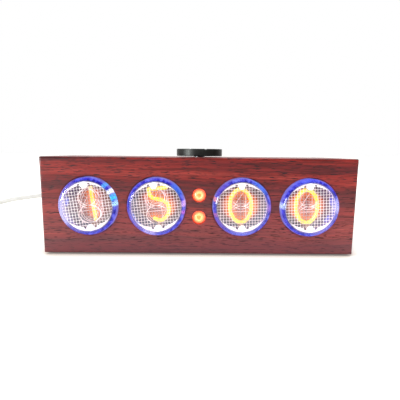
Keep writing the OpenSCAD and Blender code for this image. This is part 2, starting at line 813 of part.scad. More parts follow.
// Block on the display board, bored for the lamps' feet
module lamp_block() color("#2b2a2c") {
    difference() {
        translate([0, 0, mid_z]) upright(lamp_block_y, display_y - lamp_block_y)
            rounded(lamp_block_w, lamp_block_h, 1);
        for (z = lamp_zs) bar_y(0, lamp_block_y - cut, z, lamp_d / 2 + stem_gap, lamp_seat + cut);
    }
}

// ---------- knob and encoder ----------

// A shallow cap with a dished top, finger notches across its rim and a hub under its roof
module knob() color("#2a2c2b") {
    r = knob_d / 2;
    translate([0, mid_y, knob_z]) difference() {
        rotate_extrude() difference() {
            union() {
                square([r - knob_edge, knob_h]);
                translate([0, knob_edge]) square([r, knob_h - 2 * knob_edge]);
                for (z = [knob_edge, knob_h - knob_edge]) translate([r - knob_edge, z]) circle(knob_edge);
            }
            translate([-knob_d, 0]) square([knob_d, knob_h]);
            translate([hub_d / 2, -cut]) square([r - knob_skirt - hub_d / 2, knob_h - knob_roof + cut]);
            translate([0, knob_h - dish_depth]) square([r - dish_rim, dish_depth + cut]);
        }
        translate([0, 0, -cut]) linear_extrude(knob_h - knob_roof + cut)
            keyed(shaft_r + key_gap, flat_depth);
        for (k = [0:notches - 1]) rotate(-90 + (k + 0.39) * 360 / notches)
            translate([r, 0, knob_h + notch_w / 2 - notch_depth]) rotate([0, 90, 0])
                cylinder(d = notch_w, h = 2 * dish_rim + cut, center = true);
    }
}

// Shaft with a flat for the knob at its top and for the contact disc at its foot
module encoder_shaft() color("#c3c6ca") {
    lower_l = rotor_top_z - shaft_bottom_z + press + 0.2;
    upper_z = bush_top_z + 0.2;
    translate([0, mid_y, 0]) {
        translate([0, 0, shaft_bottom_z]) linear_extrude(lower_l) keyed(shaft_r, flat_depth);
        translate([0, 0, shaft_bottom_z + lower_l])
            cylinder(r = shaft_r, h = upper_z - shaft_bottom_z - lower_l);
        translate([0, 0, upper_z]) linear_extrude(shaft_top_z - upper_z) keyed(shaft_r, flat_depth);
    }
}

// Contact disc that the shaft turns and slides through
module encoder_rotor() color("#d8d2c0") {
    translate([0, mid_y, rotor_top_z - rotor_t]) linear_extrude(rotor_t) difference() {
        circle(d = rotor_d);
        keyed(shaft_r + key_gap, flat_depth);
    }
}

module encoder_body() color("#3b3c40") {
    translate([0, mid_y, encoder_bottom_z]) difference() {
        linear_extrude(encoder_h) rounded(encoder_w, encoder_w, 0.8);
        translate([0, 0, -cut]) cylinder(r = rotor_d / 2 + rotor_gap, h = encoder_cavity_h + cut);
        cylinder(r = shaft_r + rotor_gap, h = encoder_h + cut);
    }
}

module encoder_bush() color("#c3c6ca") {
    translate([0, mid_y, ceiling_z]) difference() {
        cylinder(d = bush_d, h = bush_top_z - ceiling_z);
        translate([0, 0, -cut]) cylinder(r = bush_bore_r, h = bush_top_z - ceiling_z + 2 * cut);
    }
}

module encoder_nut() color("#c3c6ca") {
    translate([0, mid_y, web_z + washer_t]) difference() {
        cylinder(d = nut_af / cos(30), h = nut_h, $fn = 6);
        translate([0, 0, -cut]) cylinder(r = bush_d / 2 + stem_gap, h = nut_h + 2 * cut);
    }
}

module encoder_washer() color("#c3c6ca") {
    translate([0, mid_y, web_z]) difference() {
        cylinder(d = washer_d, h = washer_t);
        translate([0, 0, -cut]) cylinder(r = bush_d / 2 + stem_gap, h = washer_t + 2 * cut);
    }
}

module encoder_board() color("#1f5a3a") {
    translate([0, mid_y, encoder_board_z]) linear_extrude(board_t)
        rounded(encoder_board_w, encoder_board_w, 1);
}

module click_dome() color("#d5d8dc") {
    translate([0, mid_y, encoder_bottom_z]) {
        cylinder(r = 2.6, h = click_h / 2);
        translate([0, 0, click_h / 2]) cylinder(r1 = 2.2, r2 = 1.2, h = click_h / 2);
    }
}

// Middle line of the ribbon, in Y and Z, as it sinks from one board to the other
ribbon_start = [mid_y + encoder_board_w / 2, encoder_board_z + board_t / 2];
ribbon_end = [control_y, mid_z + 5];
ribbon_steps = 14;
ribbon_stub = 0.8;       // straight length at each end
function ribbon_point(u) = [
    ribbon_start.x + ribbon_stub + (ribbon_end.x - ribbon_start.x - 2 * ribbon_stub) * u,
    ribbon_end.y + (ribbon_start.y - ribbon_end.y) * (1 + cos(180 * u)) / 2];
ribbon_line = concat([ribbon_start], [for (k = [0:ribbon_steps]) ribbon_point(k / ribbon_steps)],
    [ribbon_end]);

// Flat cable from the encoder board, through the display board's notch, to the control board
module encoder_ribbon() color("#9aa0a8") {
    translate([-ribbon_w / 2, 0, 0]) rotate([90, 0, 90]) linear_extrude(ribbon_w)
        polygon(stroke_outline(ribbon_line, ribbon_t));
}

// ---------- parts on the control board ----------

// Socket shell with a tongue, which stands on the control board and ends in the cover
module power_socket() color("#b9bcc0") {
    socket_l = mouth_y - control_back_y;
    floor_t = 0.8;
    translate([socket_x, 0, socket_z]) {
        upright(control_back_y, floor_t) rounded(shell_w, shell_h, shell_h / 2 - 0.1);
        upright(control_back_y, socket_l) difference() {
            rounded(shell_w, shell_h, shell_h / 2 - 0.1);
            rounded(shell_w - 2 * shell_t, shell_h - 2 * shell_t, shell_h / 2 - shell_t - 0.1);
        }
        upright(control_back_y + floor_t, plug_depth - 0.8)
            square([tongue_w, tongue_t], center = true);
    }
}
tongue_w = 5.6;
tongue_t = 0.6;
plug_depth = 3.4;        // how far the plug's shell reaches into the socket

board_end = board_w / 2;
coil_part_x = board_end - 27.5;
coil_part_z = mid_z + 2;
module booster_coil() color("#3a2f2b") {
    core_r = 5;
    core_h = 5;
    flange_t = 0.9;
    facing_front(coil_part_x, control_y, coil_part_z) {
        cylinder(r = core_r, h = flange_t);
        translate([0, 0, core_h - flange_t]) cylinder(r = core_r, h = flange_t);
        cylinder(r = core_r - 0.8, h = core_h);
    }
}

capacitor_r = 3;
capacitor_l = 11;
capacitor_xs = [board_end - 49.5, board_end - 13.5];
module booster_capacitors() color("#23303f") {
    for (x = capacitor_xs) translate([x, control_y - capacitor_r, mid_z - capacitor_l / 2 + 2]) {
        rotate_extrude() {
            square([capacitor_r, 1]);
            translate([0, 1]) square([capacitor_r - 0.25, 0.8]);
            translate([0, 1.8]) square([capacitor_r, capacitor_l - 1.8]);
        }
    }
}

// Square and narrow chips with their rows of legs
module chip(x, z, w, h, legs, pitch) {
    translate([x, 0, z]) {
        upright(control_back_y + 0.2, 1.3) rounded(w, h, 0.3);
        upright(control_back_y, 0.2) {
            square([w, h], center = true);
            for (k = [0:legs - 1]) translate([(k - (legs - 1) / 2) * pitch, 0])
                square([0.4, h + 2.4], center = true);
        }
    }
}

chip_w = 10;
driver_h = 4;
driver_pitch = 1.2;
driver_places = [[-34, -5], [-14, -5], [-24, 8]];
main_chip_x = 8;
module chips() color("#1d1d20") {
    chip(main_chip_x, mid_z, chip_w, chip_w, 10, 0.9);
    for (p = driver_places) chip(p.x, mid_z + p.y, chip_w, driver_h, 8, driver_pitch);
}

cell_x = board_end - 29.5;
cell_d = 12.5;
cell_t = 2.5;
cell_base_t = 0.8;
module cell_holder() color("#e3e0d6") {
    translate([cell_x, 0, mid_z]) {
        upright(control_back_y, cell_base_t) circle(d = cell_d + 2.6);
        upright(control_back_y, cell_base_t + cell_t) difference() {
            circle(d = cell_d + 2.6);
            circle(d = cell_d + 0.4);
            square([cell_d + 4, 5], center = true);
        }
    }
}

module backup_cell() color("#c9ccd0") {
    translate([cell_x, 0, mid_z]) upright(control_back_y + cell_base_t, cell_t) circle(d = cell_d);
}

// ---------- power lead ----------

// Plug in the power socket: metal shell, moulded grip and tapered sleeve with grooves
module cord_plug() color("#f1f1ee") {
    translate([socket_x, 0, socket_z]) {
        upright(mouth_y - plug_depth, grip_y - mouth_y + plug_depth + 0.3) difference() {
            rounded(plug_shell_w, plug_shell_h, plug_shell_h / 2 - 0.05);
            rounded(tongue_w + 0.5, tongue_t + 0.5, 0.4);
        }
        upright(grip_y, grip_l) rounded(grip_w, grip_h, grip_h / 2 - 0.4);
        translate([0, sleeve_y, 0]) rotate([-90, 0, 0])
            rotate_extrude() polygon(sleeve_outline(grip_h * 0.42, sleeve_l));
    }
}

// Half section of a sleeve that tapers from r to just over the lead in ribs
function sleeve_outline(r, l, ribs = 4) =
    let(end_r = cord_r + 0.5, step = l / ribs, groove = 0.35)
    concat([[0, 0]],
        [for (k = [0:ribs - 1]) each let(rr = r + (end_r - r) * k / (ribs - 1)) [
            [rr, k * step], [rr, (k + 0.6) * step],
            [rr - groove, (k + 0.6) * step], [rr - groove, (k + 1) * step]]],
        [[0, l]]);

// Ring of points round the lead's middle line at point c, square to direction t
function ring_at(c, t, r, sides) =
    let(side = unit(cross(t, [0, 0, 1])), up = cross(side, t))
    [for (k = [0:sides - 1]) let(w = 360 * (k + 0.5) / sides) c + r * (cos(w) * side + sin(w) * up)];

// Tube swept along a line of points, as triangles
module swept(p, r, sides) {
    last = len(p) - 1;
    rings = [for (i = [0:last]) each ring_at(p[i], heading(p, i), r, sides)];
    ends = [[for (k = [0:sides - 1]) k], [for (k = [sides - 1:-1:0]) last * sides + k]];
    sides_a = [for (i = [0:last - 1], k = [0:sides - 1])
        [i * sides + k, (i + 1) * sides + k, i * sides + (k + 1) % sides]];
    sides_b = [for (i = [0:last - 1], k = [0:sides - 1])
        [i * sides + (k + 1) % sides, (i + 1) * sides + k, (i + 1) * sides + (k + 1) % sides]];
    polyhedron(rings, concat(ends, sides_a, sides_b));
}

module cord_run() color("#f4f4f2") {
    swept(run_points, cord_r, run_sides);
}

// Middle line of the coil at w turns from its start: in, over to the upper layer, and out again
function coil_point(w) =
    let(angle = 90 + 360 * w,
        climb = min(max((w - turns_in) / turns_over, 0), 1),
        spiral_r = w < turns_in ? coil_outer_r - turn_pitch * w
            : coil_inner_r + turn_pitch * max(w - turns_in - turns_over, 0),
        r = spiral_r - climb_dip * sin(180 * climb),
        z = cord_z + layer_pitch * (1 - cos(180 * climb)) / 2)
    [coil_x + r * cos(angle), coil_y + r * sin(angle), z];

coil_turns = turns_in + turns_over + turns_out;
coil_line = concat(
    [run_points[len(run_points) - 1]],
    [for (k = [0:coil_turns * rings_per_turn]) coil_point(k / rings_per_turn)],
    [for (k = [1:tail_steps]) let(u = k / tail_steps)
        [coil_x + tail_l * u, coil_y - coil_outer_r,
         supply_z + (cord_z + layer_pitch - supply_z) * (1 + cos(180 * u)) / 2]],
    [tail_end]);

module cord_coil() color("#f4f4f2") {
    swept(coil_line, cord_r, coil_sides);
}

// Smallest distance between turns of the coil, less the lead's diameter
least_gap = min([for (i = [0:len(coil_line) - 1], k = [0:len(coil_line) - 1])
    if (k - i > rings_per_turn / 2) norm(coil_line[i] - coil_line[k])]) - cord_d;
function line_length(p) = len(p) < 2 ? 0
    : [for (i = 1, s = norm(p[1] - p[0]); i < len(p);
            i = i + 1, s = s + (i < len(p) ? norm(p[i] - p[i - 1]) : 0)) s][len(p) - 2];
echo(coil_gap = least_gap, run_length = line_length(run_points), coil_length = line_length(coil_line));

// Supply plug at the far end, which lies beside the coil
module cord_supply_plug() color("#f1f1ee") {
    translate([tail_end.x, tail_end.y, supply_z]) rotate([0, 90, 0]) {
        rotate_extrude() polygon(sleeve_outline(supply_h * 0.42, supply_sleeve_l));
        translate([0, 0, supply_sleeve_l]) linear_extrude(supply_l) rounded(supply_h, supply_w, 1.6);
    }
}

// Sheet metal shell of the supply plug, with its tongue along the lower side
module cord_supply_shell() color("#b9bcc0") {
    wall = 0.4;
    tongue = 1.8;
    translate([tail_end.x + supply_sleeve_l + supply_l, tail_end.y, supply_z]) rotate([0, 90, 0])
        linear_extrude(supply_shell_l) difference() {
            square([supply_shell_h, supply_shell_w], center = true);
            translate([-tongue / 2, 0])
                square([supply_shell_h - 2 * wall - tongue, supply_shell_w - 2 * wall], center = true);
        }
}

// ---------- what is drawn ----------

case();
back_cover();
cover_screws();
feet();
display_board();
control_board();
board_pillars();
board_spacers();
board_screws();
board_link();
for (i = [0:3]) {
    tube_glass(i);
    tube_base(i);
    anode_mesh(i);
    support_rods(i);
    digit_stack(i);
    tube_socket(i);
}
backlights();
lamp(lamp_zs[0]);  // lamp_upper
lamp(lamp_zs[1]);  // lamp_lower
lamp_electrodes();
lamp_block();
knob();
encoder_shaft();
encoder_rotor();
encoder_body();
encoder_bush();
encoder_nut();
encoder_washer();
encoder_board();
click_dome();
encoder_ribbon();
power_socket();
booster_coil();
booster_capacitors();
chips();
cell_holder();
backup_cell();
cord_plug();
cord_run();
cord_coil();
cord_supply_plug();
cord_supply_shell();
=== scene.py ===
"""Desk clock with end-on glow digit tubes in a red hardwood block, dressed for its photograph.

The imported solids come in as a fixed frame. Each sub-assembly below is a class: it gives its
solids their finishes and adds what solids can't show, such as the glowing gas.
Lengths in the classes are millimetres in the frame of the solids: +X right, +Z up, front to -Y.
"""
import logging
import math
from collections.abc import Callable
from dataclasses import dataclass
from enum import Enum
from functools import partial

import bmesh
import bpy
import numpy as np
from mathutils import Matrix, Vector


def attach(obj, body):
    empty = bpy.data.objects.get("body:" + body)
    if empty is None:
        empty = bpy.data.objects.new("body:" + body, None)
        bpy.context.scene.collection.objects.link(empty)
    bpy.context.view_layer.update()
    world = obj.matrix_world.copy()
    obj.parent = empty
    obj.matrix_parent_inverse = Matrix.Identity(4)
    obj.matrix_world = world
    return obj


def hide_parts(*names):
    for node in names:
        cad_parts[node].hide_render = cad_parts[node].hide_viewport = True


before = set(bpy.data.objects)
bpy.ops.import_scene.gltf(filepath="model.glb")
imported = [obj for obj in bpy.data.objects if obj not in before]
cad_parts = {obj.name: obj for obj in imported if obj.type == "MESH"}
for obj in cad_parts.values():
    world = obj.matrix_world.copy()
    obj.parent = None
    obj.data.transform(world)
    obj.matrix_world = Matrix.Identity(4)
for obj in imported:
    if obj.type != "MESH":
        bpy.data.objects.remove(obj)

LOG = logging.getLogger("clock")
MM = 0.001
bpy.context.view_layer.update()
# points closer than this, in metres, become one
MERGE = 1e-6
WHITE = "ffffff"
GLASS_IOR = 1.47
TUBE_Z = 25.75
TUBE_FRONT_Y = -25.5

Material, Mesh, Node = bpy.types.Material, bpy.types.Mesh, bpy.types.Node
AddNode = Callable[..., Node]
Pair = tuple[float, float]
Triple = tuple[float, float, float]


# ---------- small helpers ----------


def linear(code: str) -> tuple[float, float, float, float]:
    """Linear colour of an sRGB hex value.

    Args:
        code: six hex digits.

    Returns:
        Red, green and blue in linear light, and an alpha of 1.
    """
    part = [int(code[k : k + 2], 16) / 255 for k in (0, 2, 4)]
    red, green, blue = (c / 12.92 if c <= 0.04045 else ((c + 0.055) / 1.055) ** 2.4 for c in part)
    return (red, green, blue, 1.0)


def add_node(tree: bpy.types.NodeTree, kind: str, values: dict | None = None) -> Node:
    """Adds a shader node with its settings and links.

    Args:
        tree: the node tree.
        kind: the node's type name without its ShaderNode prefix.
        values: by name of a property, or by name or number of an input. A socket is linked, a
            node is linked from its first output in use, and hex digits stand for a colour.
            "stops" is the list of places and hex digits of a colour ramp.

    Returns:
        The new node.
    """
    node = tree.nodes.new("ShaderNode" + kind)
    for key, value in (values or {}).items():
        if key == "stops":
            ramp = node.color_ramp.elements
            while len(ramp) < len(value):
                ramp.new(1.0)
            for element, (position, colour) in zip(ramp, value):
                element.position = position
                element.color = linear(colour)
        elif isinstance(value, Node):
            tree.links.new(next(s for s in value.outputs if s.enabled), node.inputs[key])
        elif isinstance(value, bpy.types.NodeSocket):
            tree.links.new(value, node.inputs[key])
        elif isinstance(key, str) and hasattr(node, key):
            setattr(node, key, value)
        else:
            node.inputs[key].default_value = linear(value) if isinstance(value, str) else value
    return node


def span(low: float, high: float) -> dict[str, float]:
    """Settings of a range that runs between two lengths in millimetres."""
    return {"From Min": low * MM, "From Max": high * MM}


def towards(angle: float, reach: float = 1.0, y: float = 0.0) -> Triple:
    """Point at reach from the Y axis, in a direction in degrees from +X towards +Z."""
    return (reach * math.cos(math.radians(angle)), y, reach * math.sin(math.radians(angle)))


def coordinates(*parts: np.ndarray | float) -> np.ndarray:
    """Points from the arrays of their coordinates, which spread to one shape."""
    return np.stack(np.broadcast_arrays(*parts), axis=-1)


def add_object(name: str, data: bpy.types.ID) -> bpy.types.Object:
    """Puts a new object into the scene."""
    thing = bpy.data.objects.new(name, data)
    bpy.context.scene.collection.objects.link(thing)
    return thing


def make_piece(
    name: str,
    mesh: Mesh,
    material: Material,
    body: str = "root",
    replaces: tuple[str, ...] = (),
) -> None:
    """Puts a mesh into the scene as a piece of the clock.

    Args:
        name: name of the piece.
        mesh: its mesh, in place, in metres.
        material: its finish.
        body: the body that it rides on.
        replaces: the solids that it stands for.
    """
    piece = add_object(name, mesh)
    mesh.materials.append(material)
    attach(piece, body)
    if replaces:
        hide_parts(*replaces)
    LOG.info("%s: %d faces, rides on %s", name, len(mesh.polygons), body)


def dress(node: str, material: Material) -> None:
    """Gives a solid its finish.

    Args:
        node: name of the solid.
        material: its finish.
    """
    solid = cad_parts[node]
    solid.data.materials.clear()
    solid.data.materials.append(material)
    LOG.info("%s: dressed with %s", node, material.name)


def shade_smooth(mesh: Mesh) -> None:
    """Shades all faces of a mesh smooth."""
    mesh.polygons.foreach_set("use_smooth", np.ones(len(mesh.polygons), dtype=bool))


def grid_mesh(
    name: str, points: np.ndarray, round_u: bool = False, round_v: bool = True
) -> Mesh:
    """Smooth mesh over a grid of points: a quad joins each four neighbours.

    Args:
        name: name of the mesh.
        points: array of rows by columns by 3, in metres.
        round_u: whether the last row joins the first.
        round_v: whether the last column joins the first.

    Returns:
        The mesh, with its doubled points merged and its faces turned outwards.
    """
    here = np.arange(points[..., 0].size).reshape(points.shape[:2])
    below = np.roll(here, -1, axis=0)
    corners = [here, np.roll(here, -1, axis=1), np.roll(below, -1, axis=1), below]
    rows, columns = (None if closed else -1 for closed in (round_u, round_v))
    quads = np.stack([c[:rows, :columns] for c in corners], axis=-1).reshape(-1, 4)
    mesh = bpy.data.meshes.new(name)
    mesh.from_pydata(points.reshape(-1, 3).tolist(), [], quads.tolist())
    work = bmesh.new()
    work.from_mesh(mesh)
    bmesh.ops.remove_doubles(work, verts=work.verts, dist=MERGE)
    bmesh.ops.dissolve_degenerate(work, edges=work.edges, dist=MERGE / 4)
    bmesh.ops.recalc_face_normals(work, faces=work.faces)
    work.to_mesh(mesh)
    work.free()
    shade_smooth(mesh)
    return mesh


def join_meshes(name: str, parts: list[Mesh]) -> Mesh:
    """One smooth mesh from several.

    Args:
        name: name of the mesh.
        parts: the meshes, which are used up.

    Returns:
        The mesh.
    """
    work = bmesh.new()
    for part in parts:
        work.from_mesh(part)
        bpy.data.meshes.remove(part)
    mesh = bpy.data.meshes.new(name)
    work.to_mesh(mesh)
    work.free()
    shade_smooth(mesh)
    return mesh


def join_bars(name: str, bars: list[np.ndarray]) -> Mesh:
    """One mesh from several grids of points, whose edges of more than 40 degrees stay sharp.

    Args:
        name: name of the mesh.
        bars: the grids, in metres. A bar's columns close, and its rows do if its ends meet.

    Returns:
        The mesh.
    """
    mesh = join_meshes(name, [grid_mesh(name, bar) for bar in bars])
    mesh.set_sharp_from_angle(angle=math.radians(40))
    return mesh


def lathe(name: str, outline: np.ndarray, centre: Pair, steps: int) -> Mesh:
    """Surface of revolution about an axis along Y: radius r at depth y becomes a ring.

    Args:
        name: name of the mesh.
        outline: closed or axis-to-axis line of (radius, y) in millimetres.
        centre: X and Z of the axis in millimetres.
        steps: number of points round the axis.

    Returns:
        The mesh.
    """
    angle = np.linspace(0, 2 * np.pi, steps, endpoint=False)
    radius, depth = outline[:, :1], outline[:, 1:]
    x, z = centre[0] + radius * np.cos(angle), centre[1] + radius * np.sin(angle)
    return grid_mesh(name, coordinates(x, depth, z) * MM)


def arc(centre: Pair, radii: Pair, start: float, end: float, steps: int) -> np.ndarray:
    """Points of an elliptic arc: centre plus the radii times the cosine and sine of the angle.

    Args:
        centre: first and second coordinate of the middle.
        radii: half widths along the two coordinates.
        start: first angle in degrees.
        end: last angle in degrees.
        steps: number of points.

    Returns:
        Array of points by 2.
    """
    angle = np.radians(np.linspace(start, end, steps))
    return coordinates(centre[0] + radii[0] * np.cos(angle), centre[1] + radii[1] * np.sin(angle))


def places(mesh: Mesh) -> np.ndarray:
    """Places of a mesh's points in millimetres."""
    flat = np.empty(len(mesh.vertices) * 3)
    mesh.vertices.foreach_get("co", flat)
    return flat.reshape(-1, 3) / MM


def nearest(place: np.ndarray, line: np.ndarray) -> np.ndarray:
    """Distance of places from a line as seen from the front: the least over its (x, z) points."""
    return np.sqrt(((place[:, None, [0, 2]] - line[None]) ** 2).sum(axis=-1)).min(axis=1)


def write_values(mesh: Mesh, name: str, values: np.ndarray) -> None:
    """Writes a value for each point of a mesh as an attribute that its finish reads."""
    attribute = mesh.attributes.new(name, "FLOAT", "POINT")
    attribute.data.foreach_set("value", values.astype(np.float32))


# ---------- finishes ----------


class Substance:
    """What a surface is made of, drawn with shader nodes."""

    name: str

    def draw(self, add: AddNode) -> Node:
        """Draws the substance.

        Args:
            add: adds a node to the material, as add_node does.

        Returns:
            The node that gives the surface.
        """
        raise NotImplementedError

    def build(self) -> Material:
        """Makes the material.

        Returns:
            The material, with what draw gives as its surface.
        """
        material = bpy.data.materials.new(self.name)
        material.use_nodes = True
        material.node_tree.nodes.clear()
        add = partial(add_node, material.node_tree)
        add("OutputMaterial", {"Surface": self.draw(add)})
        return material


def looked_at(add: AddNode) -> Node:
    """Mask for rays from the eye: the greatest of the camera's, mirrored and transmitted rays.

    Args:
        add: adds a node.

    Returns:
        The node, which gives 1 for such rays and 0 for light that falls on matt surfaces.
    """
    rays = add("LightPath").outputs
    seen = rays["Is Camera Ray"]
    for kind in ("Is Glossy Ray", "Is Transmission Ray"):
        seen = add("Math", {"operation": "MAXIMUM", 0: seen, 1: rays[kind]})
    return seen


def about_axis(add: AddNode, centre: Triple) -> tuple[Node, ...]:
    """Places about an axis along Y.

    Args:
        add: adds a node.
        centre: a point of the axis in millimetres.

    Returns:
        The place from the centre, the same without its Y, and the length of that: the radius.
    """
    place = add("TexCoord").outputs["Object"]
    local = add("Mapping", {"Location": tuple(-c * MM for c in centre), "Vector": place})
    flat = add("VectorMath", {"operation": "MULTIPLY", 0: local, 1: (1.0, 0.0, 1.0)})
    return local, flat, add("VectorMath", {"operation": "LENGTH", 0: flat})


def clear_to_lamps(add: AddNode, glass: Node) -> Node:
    """Lets the light of lamps straight through a glass, so that its inside is lit."""
    shadow = add("LightPath").outputs["Is Shadow Ray"]
    return add("MixShader", {0: shadow, 1: glass, 2: add("BsdfTransparent")})


class Making(Enum):
    """How a surface was made: what its marks are scaled by along X, Y and Z."""

    MOULDED = (1.0, 1.0, 1.0)
    BRUSHED = (0.06, 1.0, 1.0)
    TURNED = (1.0, 1.0, 0.1)
    SMOOTH = (0.3, 0.3, 0.3)


@dataclass(frozen=True)
class Finish(Substance):
    """Plain finish of one substance, with faint mottling and the relief of its making.

    relief_mm is the distance between the marks of its making. The real marks are finer than
    the render shows, so it is never set below 0.25 mm.
    """

    name: str
    colour: str
    second: str
    making: Making
    roughness: float
    relief_mm: float = 0.6
    relief: float = 0.1
    metallic: float = 0.0
    mottle_mm: float = 6.0

    def draw(self, add: AddNode) -> Node:
        """Mixes the two colours by soft noise, over the marks of the making.

        Args:
            add: adds a node.

        Returns:
            The node that gives the surface.
        """
        place = add("TexCoord").outputs["Object"]
        mottle = {"Scale": 1 / (self.mottle_mm * MM), "Detail": 3.0, "Vector": place}
        stops = [(0.35, self.second), (0.6, self.colour)]
        colour = add("ValToRGB", {"stops": stops, "Fac": add("TexNoise", mottle)})
        along = add("Mapping", {"Scale": self.making.value, "Vector": place})
        scale = 1 / (self.relief_mm * MM)
        marks = add("TexNoise", {"Scale": scale, "Detail": 2.0, "Vector": along})
        bump = add("Bump", {"Strength": self.relief, "Distance": 0.05 * MM, "Height": marks})
        low, high = self.roughness * 0.85, min(1.0, self.roughness * 1.2)
        rough = add("MapRange", {"To Min": low, "To Max": high, "Value": marks})
        surface = {"Base Color": colour, "Roughness": rough, "Normal": bump}
        return add("BsdfPrincipled", {"Metallic": self.metallic, **surface})


@dataclass(frozen=True)
class ThinMetal(Substance):
    """Etched nickel sheet inside a tube: thin edges that the glow behind them shines round.

    The colour is light at the front of the stack and darker behind it: painted shade for the light
    that the plates before each plate take. front_y and back_y are the depths, in millimetres, of
    the two colours. painted_self_glow is painted light: an emission in the metal's own colour that
    stands in for the glow all round the stack. fade is the share of a fine wire that painted glare
    makes see-through, for the glare of the gas behind it, where the attribute glare is 1.
    """

    name: str
    front: str
    back: str
    front_y: float
    back_y: float
    through: float
    painted_self_glow: float = 0.0
    fade: float = 0.0
    roughness: float = 0.4
    grain_mm: float = 0.4

    def draw(self, add: AddNode) -> Node:
        """Mixes pale metal, darker with depth by painted shade and with grain, with light that
        passes round it.

        Args:
            add: adds a node.

        Returns:
            The node that gives the surface.
        """
        place = add("TexCoord").outputs["Object"]
        scale = 1 / (self.grain_mm * MM)
        grain = add("TexNoise", {"Scale": scale, "Detail": 2.0, "Vector": place})
        depth = add("SeparateXYZ", {"Vector": place}).outputs["Y"]
        # painted shade: the colour darkens with depth behind the front plate
        deep = add("MapRange", {**span(self.front_y, self.back_y), "Value": depth})
        spotted = add("Math", {"operation": "MULTIPLY_ADD", 0: grain, 1: 0.2, 2: -0.1})
        share = add("Math", {"operation": "ADD", 0: deep, 1: spotted})
        colour = add("ValToRGB", {"stops": [(0.0, self.front), (1.0, self.back)], "Fac": share})
        low, high = self.roughness * 0.8, self.roughness * 1.3
        rough = add("MapRange", {"To Min": low, "To Max": high, "Value": grain})
        # painted light: the metal glows by emission in its own colour
        surface = {"Base Color": colour, "Roughness": rough, "Emission Color": colour}
        metal = add("BsdfPrincipled", {"Emission Strength": self.painted_self_glow, **surface})
        spill = add("BsdfTranslucent", {"Color": colour})
        mix = add("MixShader", {0: self.through, 1: metal, 2: spill})
        # painted glare: the wire turns see-through where the attribute glare is 1
        if self.fade:
            glare = add("Attribute", {"attribute_name": "glare"}).outputs["Fac"]
            lost = add("Math", {"operation": "MULTIPLY", 0: glare, 1: self.fade})
            mix = add("MixShader", {0: lost, 1: mix, 2: add("BsdfTransparent")})
        return mix


@dataclass(frozen=True)
class Padauk(Substance):
    """Oiled red hardwood of the padauk kind: planed, long grain along X, open dark pores.

    Each pattern is (width, length) in millimetres. A real pore is 0.2 mm wide; it is drawn wider so
    that it shows. bend is how far slow waves carry the grain, and pale and low are the heights in
    millimetres between which the wood pales, painted light that stands in for the pale table's
    light from below, and turns purple-brown towards its bottom edge.
    """

    name: str = "padauk_oiled"
    streak: Pair = (4.0, 130.0)
    band: Pair = (13.0, 260.0)
    fibre: Pair = (0.6, 45.0)
    pore: Pair = (0.38, 4.5)
    bend: float = 6.0
    pale: Pair = (42.0, 14.0)
    low: Pair = (13.0, 7.0)

    def draw(self, add: AddNode) -> Node:
        """Layers noises stretched along the grain, which runs on through all faces.

        Args:
            add: adds a node.

        Returns:
            The node that gives the surface.
        """
        place = add("TexCoord").outputs["Object"]
        wave = add("TexNoise", {"Scale": 16.0, "Detail": 2.0, "Vector": place}).outputs["Color"]
        reach = (0.0, self.bend * MM, self.bend * MM)
        bent = add("VectorMath", {"operation": "MULTIPLY", 0: wave, 1: reach})
        grain = add("VectorMath", {"operation": "ADD", 0: place, 1: bent})
        layers = []
        patterns = ((self.streak, 8.0), (self.band, 2.0), (self.fibre, 3.0), (self.pore, 1.0))
        for (width, length), detail in patterns:
            scale = (1 / (length * MM), 1 / (width * MM), 1 / (width * MM))
            at = add("Mapping", {"Scale": scale, "Vector": grain})
            layers.append(add("TexNoise", {"Scale": 1.0, "Detail": detail, "Vector": at}))
        streak, band, fibre, pore = layers
        stops = [
            (0.36, "58161b"), (0.44, "7c1d20"), (0.50, "922420"), (0.57, "a22b25"),
            (0.66, "be4238"),
        ]
        mixed = add("Mix", {0: 0.35, 2: streak, 3: band})
        colour = add("ValToRGB", {"stops": stops, "Fac": mixed})
        shade = add("ValToRGB", {"stops": [(0.36, "9a8484"), (0.56, WHITE)], "Fac": fibre})
        shaded = {"blend_type": "MULTIPLY", 0: 0.8, 6: colour, 7: shade}
        colour = add("Mix", {"data_type": "RGBA", **shaded})
        height = add("SeparateXYZ", {"Vector": grain}).outputs["Z"]
        # painted light: the wood pales towards its lower half, standing in for light from the pale
        # table below
        pale = add("MapRange", {**span(*self.pale), "To Max": 0.9, "Value": height})
        painted_bounce_light = {"blend_type": "SCREEN", 0: pale, 6: colour, 7: "6c4444"}
        colour = add("Mix", {"data_type": "RGBA", **painted_bounce_light})
        pores = add("MapRange", {"From Min": 0.59, "From Max": 0.65, "Value": pore})
        colour = add("Mix", {"data_type": "RGBA", 0: pores, 6: colour, 7: "320c14"})
        # purple-brown tone towards the bottom edge
        smooth = {"interpolation_type": "SMOOTHSTEP", "To Max": 0.6}
        low = add("MapRange", {**span(*self.low), **smooth, "Value": height})
        colour = add("Mix", {"data_type": "RGBA", 0: low, 6: colour, 7: "75434b"})
        relief = add("Math", {"operation": "MULTIPLY_ADD", 0: pores, 1: -1.6, 2: fibre})
        bump = add("Bump", {"Strength": 0.35, "Distance": 0.12 * MM, "Height": relief})
        rough = add("MapRange", {"To Min": 0.36, "To Max": 0.55, "Value": fibre})
        oil = {"Specular IOR Level": 0.25, "Coat Weight": 0.25, "Coat Roughness": 0.15}
        wood = {"Base Color": colour, "Roughness": rough, "Normal": bump}
        return add("BsdfPrincipled", {**oil, **wood})


